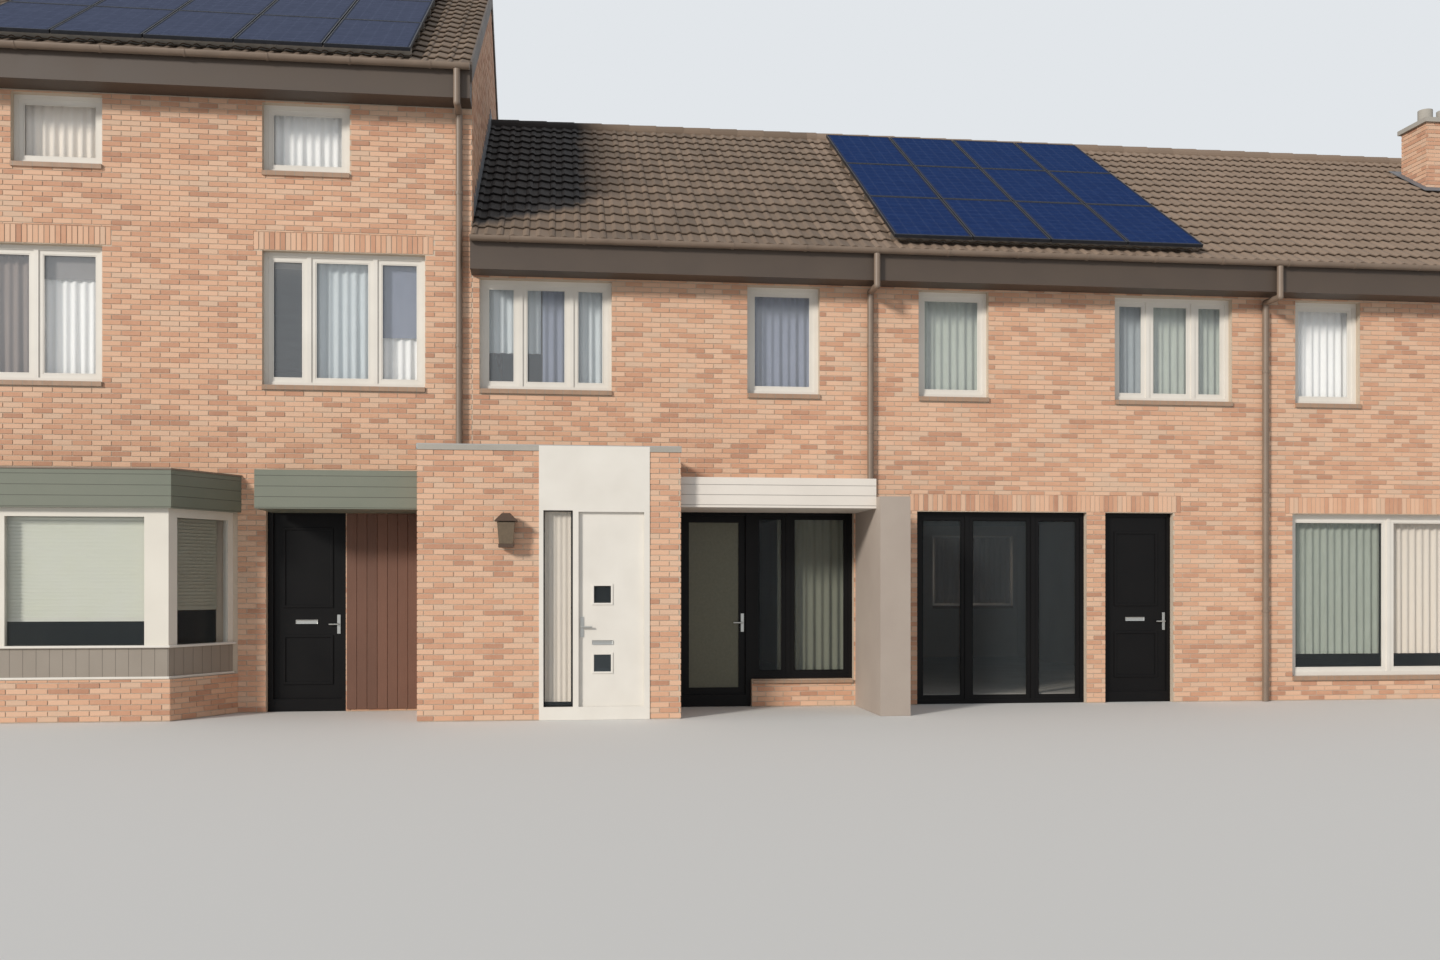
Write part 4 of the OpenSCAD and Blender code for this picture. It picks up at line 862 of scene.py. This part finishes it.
plate("white_door_low_light", LIGHT_X, LOW_LIGHT_Z, 0.20, 0.20, WHITE_Y, smoked_coat, "white_door", 0.004)
for name, z in (("light", LIGHT_Z), ("low_light", LOW_LIGHT_Z)):
    moulding(f"white_door_{name}_frame", LIGHT_X - 0.12, LIGHT_X + 0.12, z - 0.12, z + 0.12, WHITE_Y, -1,
             white_coat, "white_door", 0.024, 0.010)


# Flashings. Lead dressed over the tiles where the tall house stands above the next roof, as steps in
# its wall, and round the foot of the chimney as an apron and side strips.
lead = mottled("weathered lead", (96, 98, 102), (132, 134, 138), (0.5, 0.7), spots=(0.2, 5),
               depth=0.002, Metallic=0.3)
LEAD_STEP, APRON = 0.27, 0.15


def roof_at(y):
    """The height of the lower roofs' front slope above a place."""
    return LOW_EAVES + (HALF + RUN + y) * SLOPE


def lead_sheet(outline, thickness):
    """A sheet from an outline in space, thickened along its own normal."""
    piece = built("lead", outline, [list(range(len(outline)))])
    modified(piece, "SOLIDIFY", thickness=thickness, offset=1)
    piece.data.materials.append(lead)
    return piece


strips = []
for side in (1, -1):
    for i in range(2, 17):
        low, high = 4.60 - i * LEAD_STEP, 4.60 - (i + 1) * LEAD_STEP - 0.02
        foot, top = roof_at(-low) - 0.04, roof_at(-high) + 0.13
        face = [(TALL_SIDE, -low * side, foot), (TALL_SIDE, -high * side, foot + LEAD_STEP * SLOPE),
                (TALL_SIDE, -high * side, top), (TALL_SIDE, -low * side, top)]
        strips.append(lead_sheet(face[::side], 0.014))
join("step_flashing", strips)
apron, x0 = [], STACK_L - 0.13
for x1, y0, y1 in ((RIGHT_END, STACK_FRONT - APRON, STACK_FRONT), (STACK_L, STACK_FRONT, STACK_BACK),
                   (RIGHT_END, STACK_BACK, STACK_BACK + APRON)):
    z0, z1 = roof_at(y0) + 0.045, roof_at(y1) + 0.045
    apron.append(lead_sheet([(x0, y0, z0), (x1, y0, z0), (x1, y1, z1), (x0, y1, z1)], 0.012))
join("chimney_flashing", apron)


# Gutter brackets and pipe clips. Straps of the gutter's own plastic, one every 900 mm under the gutters
# and about one every 1.6 m round the downpipes.
def band(radius, width, turns, thick):
    """Part of a band round the X axis, open at its top when turns is below 1."""
    bpy.ops.object.select_all(action="DESELECT")
    bpy.ops.mesh.primitive_grid_add(x_subdivisions=1, y_subdivisions=14, size=1)
    piece = bpy.context.object
    for corner in piece.data.vertices:
        angle = math.pi * (-0.5 + 2 * turns * corner.co.y)
        corner.co = (corner.co.x * width, radius * math.cos(angle), radius * math.sin(angle))
    modified(piece, "SOLIDIFY", thickness=thick, offset=0)
    return piece


GUTTER_Y, GUTTER_DROP, PIPE_Y = HALF + RUN + 0.085, 0.024, 4.365
strap, places = band(0.0635, 0.03, 0.5, 0.005), []
for x0, x1, edge_z in ROOFS:
    count = round((x1 - x0) / 0.9)
    places += [((x0 + (i + 0.5) * (x1 - x0) / count, side * GUTTER_Y, edge_z - GUTTER_DROP), *STRAIGHT)
               for i in range(count) for side in (-1, 1)]
repeat("gutter_brackets", strap, places, rain_coat)
bpy.data.objects.remove(strap)
clip, places = band(0.0425, 0.035, 1.0, 0.006), []
for x, side, z0, z1 in ((-5.10, -1, 3.5, 7.2), (0.0, -1, 2.9, 5.1), (5.29, -1, 0.4, 5.1), (-5.25, 1, 0.4, 7.2),
                        (0.0, 1, 0.4, 5.1), (10.05, 1, 0.4, 5.1)):
    count = max(2, round((z1 - z0) / 1.6))
    places += [((x, side * PIPE_Y, z0 + (z1 - z0) * (i + 0.5) / count), (0, 0, 1), (0, 1, 0), (-1, 0, 0))
               for i in range(count)]
repeat("pipe_clips", clip, places, rain_coat)
bpy.data.objects.remove(clip)


# Frames of the solar panels. Black anodised aluminium edges, 12 mm wide, clamped to the rails. They
# stand 2 mm over the glass and hide its cut edge.
edge_coat = mottled("black anodised frame", (38, 40, 46), (58, 60, 66), (0.4, 0.55), spots=(0.05, 3),
                    depth=0.0003, Metallic=0.6)
bpy.ops.object.select_all(action="DESELECT")
bpy.ops.mesh.primitive_plane_add(size=1)
rim = bpy.context.object
bpy.ops.object.mode_set(mode="EDIT")
bpy.ops.mesh.select_all(action="SELECT")
bpy.ops.mesh.inset(thickness=0.1, depth=0)
bpy.ops.mesh.delete(type="FACE")
bpy.ops.object.mode_set(mode="OBJECT")
for corner in rim.data.vertices:
    u, v = corner.co.x, corner.co.y
    inner = 0.012 if abs(u) < 0.45 else -0.001
    corner.co = (0.5 + math.copysign(0.5 - inner, u), 0.825 + math.copysign(0.825 - inner, v), 0.0423)
modified(rim, "SOLIDIFY", thickness=0.044, offset=-1)
up, off = np.array((0, math.cos(PITCH), math.sin(PITCH))), np.array((0, -math.sin(PITCH), math.cos(PITCH)))
for name, (x0, edge_z), columns in (("solar_frames_1", PANELS_1, 5), ("solar_frames_3", PANELS_3, 4)):
    places = [(np.array((x0 + c * PANEL_ACROSS, -(HALF + RUN), edge_z)) + up * (PANEL_FOOT + r * PANEL_UP)
               + off * 0.1003, (1, 0, 0), up, off) for c in range(columns) for r in range(3)]
    repeat(name, rim, places, edge_coat)
bpy.data.objects.remove(rim)


# Wall lamp beside the entrance. A small lantern of brown enamelled sheet and smoked glass with a
# hipped cap, on an arm and a back plate that is screwed to the bricks.
enamel = mottled("brown lamp enamel", (62, 46, 34), (88, 66, 50), (0.4, 0.6), spots=(0.02, 4), depth=0.0005)
lamp_glass = mottled("smoked lamp glass", (92, 78, 62), (116, 100, 80), (0.12, 0.25), spots=(0.03, 3))
LAMP_X, LAMP_Y, LAMP_Z, LAMP_SCALE = -4.48, -5.607, 2.12, 1.3


def lamp_part(at, size, material, top=1.0):
    """A tapered block, its top face scaled, with eased edges."""
    bpy.ops.object.select_all(action="DESELECT")
    bpy.ops.mesh.primitive_cube_add(size=1)
    part = bpy.context.object
    for corner in part.data.vertices:
        u, v, w = corner.co
        k = top if w > 0 else 1.0
        corner.co = (LAMP_X + LAMP_SCALE * (at[0] + u * size[0] * k), LAMP_Y + at[1] + v * size[1] * k,
                     LAMP_Z + LAMP_SCALE * (at[2] + w * size[2]))
    modified(part, "BEVEL", width=0.003, segments=2)
    part.data.materials.append(material)
    return part


join("wall_lamp", [
    lamp_part((0, -0.008, 0), (0.11, 0.016, 0.26), enamel),  # back plate
    lamp_part((0, -0.055, 0.10), (0.022, 0.10, 0.022), enamel),  # arm
    lamp_part((0, -0.12, 0.125), (0.20, 0.22, 0.07), enamel, 0.35),  # cap
    lamp_part((0, -0.12, -0.01), (0.12, 0.13, 0.19), lamp_glass, 1.25),
    lamp_part((0, -0.12, -0.12), (0.13, 0.14, 0.03), enamel),  # foot
])


# Glazing beads. Slim mitred strips, 14 mm wide and in the frame's own paint, pinned round each pane to
# hold it from outside. Those of the front's ground floor are near black.
def solids_of(name):
    """The lowest and highest corners of each separate solid in a node."""
    mesh = nodes[name].data
    spots = [tuple(round(v, 4) for v in corner.co) for corner in mesh.vertices]
    group = {spot: spot for spot in spots}

    def first(spot):
        while group[spot] != spot:
            spot = group[spot]
        return spot

    for face in mesh.polygons:
        ends = [first(spots[i]) for i in face.vertices]
        for end in ends[1:]:
            group[first(end)] = first(ends[0])
    found = {}
    for spot in group:
        found.setdefault(first(spot), []).append(spot)
    return [(tuple(map(min, zip(*f))), tuple(map(max, zip(*f)))) for f in found.values()]


beads, dark_beads = [], []
for low, high in solids_of("window_glass"):
    out = -1 if low[1] < 0 else 1
    dark = out < 0 and high[2] < 2.5 and low[0] < 3
    bead = moulding("bead", low[0], high[0], low[2], high[2], low[1] if out < 0 else high[1], out,
                    dark_coat if dark else white_coat, width=0.014, depth=0.012)
    (dark_beads if dark else beads).append(bead)
join("glazing_beads", beads)
join("dark_glazing_beads", dark_beads)


# Trim of the hall roof. A folded aluminium strip, screwed over the edge of the roofing on the three
# open sides and turned down over the bricks.
TRIM_L, TRIM_R, TRIM_FRONT, TRIM_BACK, TRIM_T = -5.475, -2.505, -5.612, -4.310, 0.005
join("hall_roof_trim", [
    block(((x0 + x1) / 2, (y0 + y1) / 2, 3.077), (x1 - x0, y1 - y0, 0.066), 0.002, metal_coat)
    for x0, x1, y0, y1 in ((TRIM_L, TRIM_R, TRIM_FRONT, TRIM_FRONT + TRIM_T),
                           (TRIM_L, TRIM_L + TRIM_T, TRIM_FRONT, TRIM_BACK),
                           (TRIM_R - TRIM_T, TRIM_R, TRIM_FRONT, TRIM_BACK))])


# Handles of the doors that stay shut. A satin aluminium lever on a long plate, 1.05 m up, screwed to
# the lock stile.
LEVER_Z, LOCK_EDGE = 1.05, 0.085


def lever(name, x, y, out):
    """A handle whose plate lies on the face at y and whose lever points back over the door."""
    parts = [block((x, y + out * 0.004, LEVER_Z), (0.038, 0.008, 0.23), 0.003, segments=3)]
    for aside, clear, length, turn in ((0, 0.024, 0.036, (math.pi / 2, 0, 0)),
                                       (0.053, 0.042, 0.125, (0, math.pi / 2, 0))):
        bpy.ops.mesh.primitive_cylinder_add(vertices=20, radius=0.009, depth=length, rotation=turn,
                                            location=(x - aside, y + out * clear, LEVER_Z))
        parts.append(bpy.context.object)
    modified(parts[2], "BEVEL", width=0.004, segments=3, limit_method="ANGLE")
    for part in parts:
        part.data.materials.append(metal_coat)
        part.select_set(True)
    bpy.ops.object.transform_apply(location=True, rotation=True, scale=True)
    join(name, parts)


for name, opening in (("third_door_handle", FRONT_DOORS[1]), ("last_door_handle", FRONT_DOORS[2])):
    lever(name, opening[1] - LOCK_EDGE, SHUT_Y, -1)
for number, opening in enumerate(BACK_DOORS):
    lever(f"back_door_{number + 1}_handle", opening[1] - LOCK_EDGE, -SHUT_Y, 1)


# Sill of the dark glazing. A sand coloured glazed tile, bedded to a fall on the low wall of the second
# house's porch and nosed over the bricks.
bpy.ops.object.select_all(action="DESELECT")
bpy.ops.mesh.primitive_cube_add(size=1)
low_sill = bpy.context.object
low_sill.name = "low_wall_sill"
for corner in low_sill.data.vertices:
    y, under, top = (-4.338, 0.292, 0.330) if corner.co.y < 0 else (-4.212, 0.300, 0.346)
    corner.co = (-0.85 + corner.co.x * 1.28, y, top if corner.co.z > 0 else under)
modified(low_sill, "BEVEL", width=0.006, segments=3)
fit(low_sill, sill_coat)


# Weep vents. Slim plastic vents in the upright joints of the third course, one a metre, which drain
# the cavity behind the bricks.
BOND = 0.22  # from one upright joint to the next
weep, places = block((0, 0, 0.032), (0.010, 0.006, 0.050), 0.0015, segments=1), []
for side, holes in ((-1, [o for o in ground_front + porches if o[2] < 0.2]), (1, BACK_DOORS)):
    for k in range(22):
        x = math.floor((LEFT_END + 0.55 + k * 0.99) / BOND) * BOND - JOINT / 2
        if not any(h[0] - 0.05 < x < h[1] + 0.05 for h in holes):
            places.append(((x, side * (HALF + 0.003), 2 * COURSE + 0.0055), *STRAIGHT))
repeat("weep_vents", weep, places, rain_coat)
bpy.data.objects.remove(weep)


# Stage, lights and camera. A pale floor and a plain pale sky, which lights softly and is the backdrop
# that camera, metal and glass see. A low sun from the left front throws the shadows, and the camera
# looks level from eye height.
bpy.ops.object.select_all(action="DESELECT")
bpy.ops.mesh.primitive_plane_add(size=160, location=(0, 0, -0.002))
floor = bpy.context.object
floor.name = "floor"
floor.data.materials.append(Paint("pale floor").finish(Base_Color=srgb(214, 212, 208), Roughness=0.9))

studio = bpy.data.worlds.new("studio")
bpy.context.scene.world = studio
sky = Nodes(studio)
sky.tree.nodes.remove(sky.tree.nodes["Background"])
soft = sky.add("ShaderNodeBackground", {}, {"Color": srgb(226, 232, 240), "Strength": 0.6})
seen = sky.add("ShaderNodeBackground", {}, {"Color": srgb(226, 230, 234)})
straight, mirrored, through = (sky.add("ShaderNodeLightPath", out=f"Is {ray} Ray")
                               for ray in ("Camera", "Glossy", "Transmission"))
mixed = sky.add("ShaderNodeMixShader", {}, {0: (straight + mirrored + through).held(), 1: soft, 2: seen})
sky.put(sky.tree.nodes["World Output"].inputs["Surface"], mixed)

sun = bpy.data.lights.new("key", "SUN")
sun.energy, sun.angle, sun.color = 2.75, math.radians(9), (1.0, 0.96, 0.9)
sun_lamp = bpy.data.objects.new("key", sun)
sun_lamp.rotation_euler = Vector((1.1, 1.05, -0.62)).to_track_quat("-Z", "Y").to_euler()
bpy.context.scene.collection.objects.link(sun_lamp)

camera = bpy.data.cameras.new("camera")
camera.lens, camera.sensor_width, camera.shift_y, camera.clip_end = 32.5, 36, 0.0715, 500
viewer = bpy.data.objects.new("camera", camera)
viewer.location = (-3.88, -20.4, 1.55)
viewer.rotation_euler = (math.pi / 2, 0, -math.radians(7))
bpy.context.scene.collection.objects.link(viewer)
bpy.context.scene.camera = viewer
bpy.context.scene.view_settings.view_transform = "Standard"
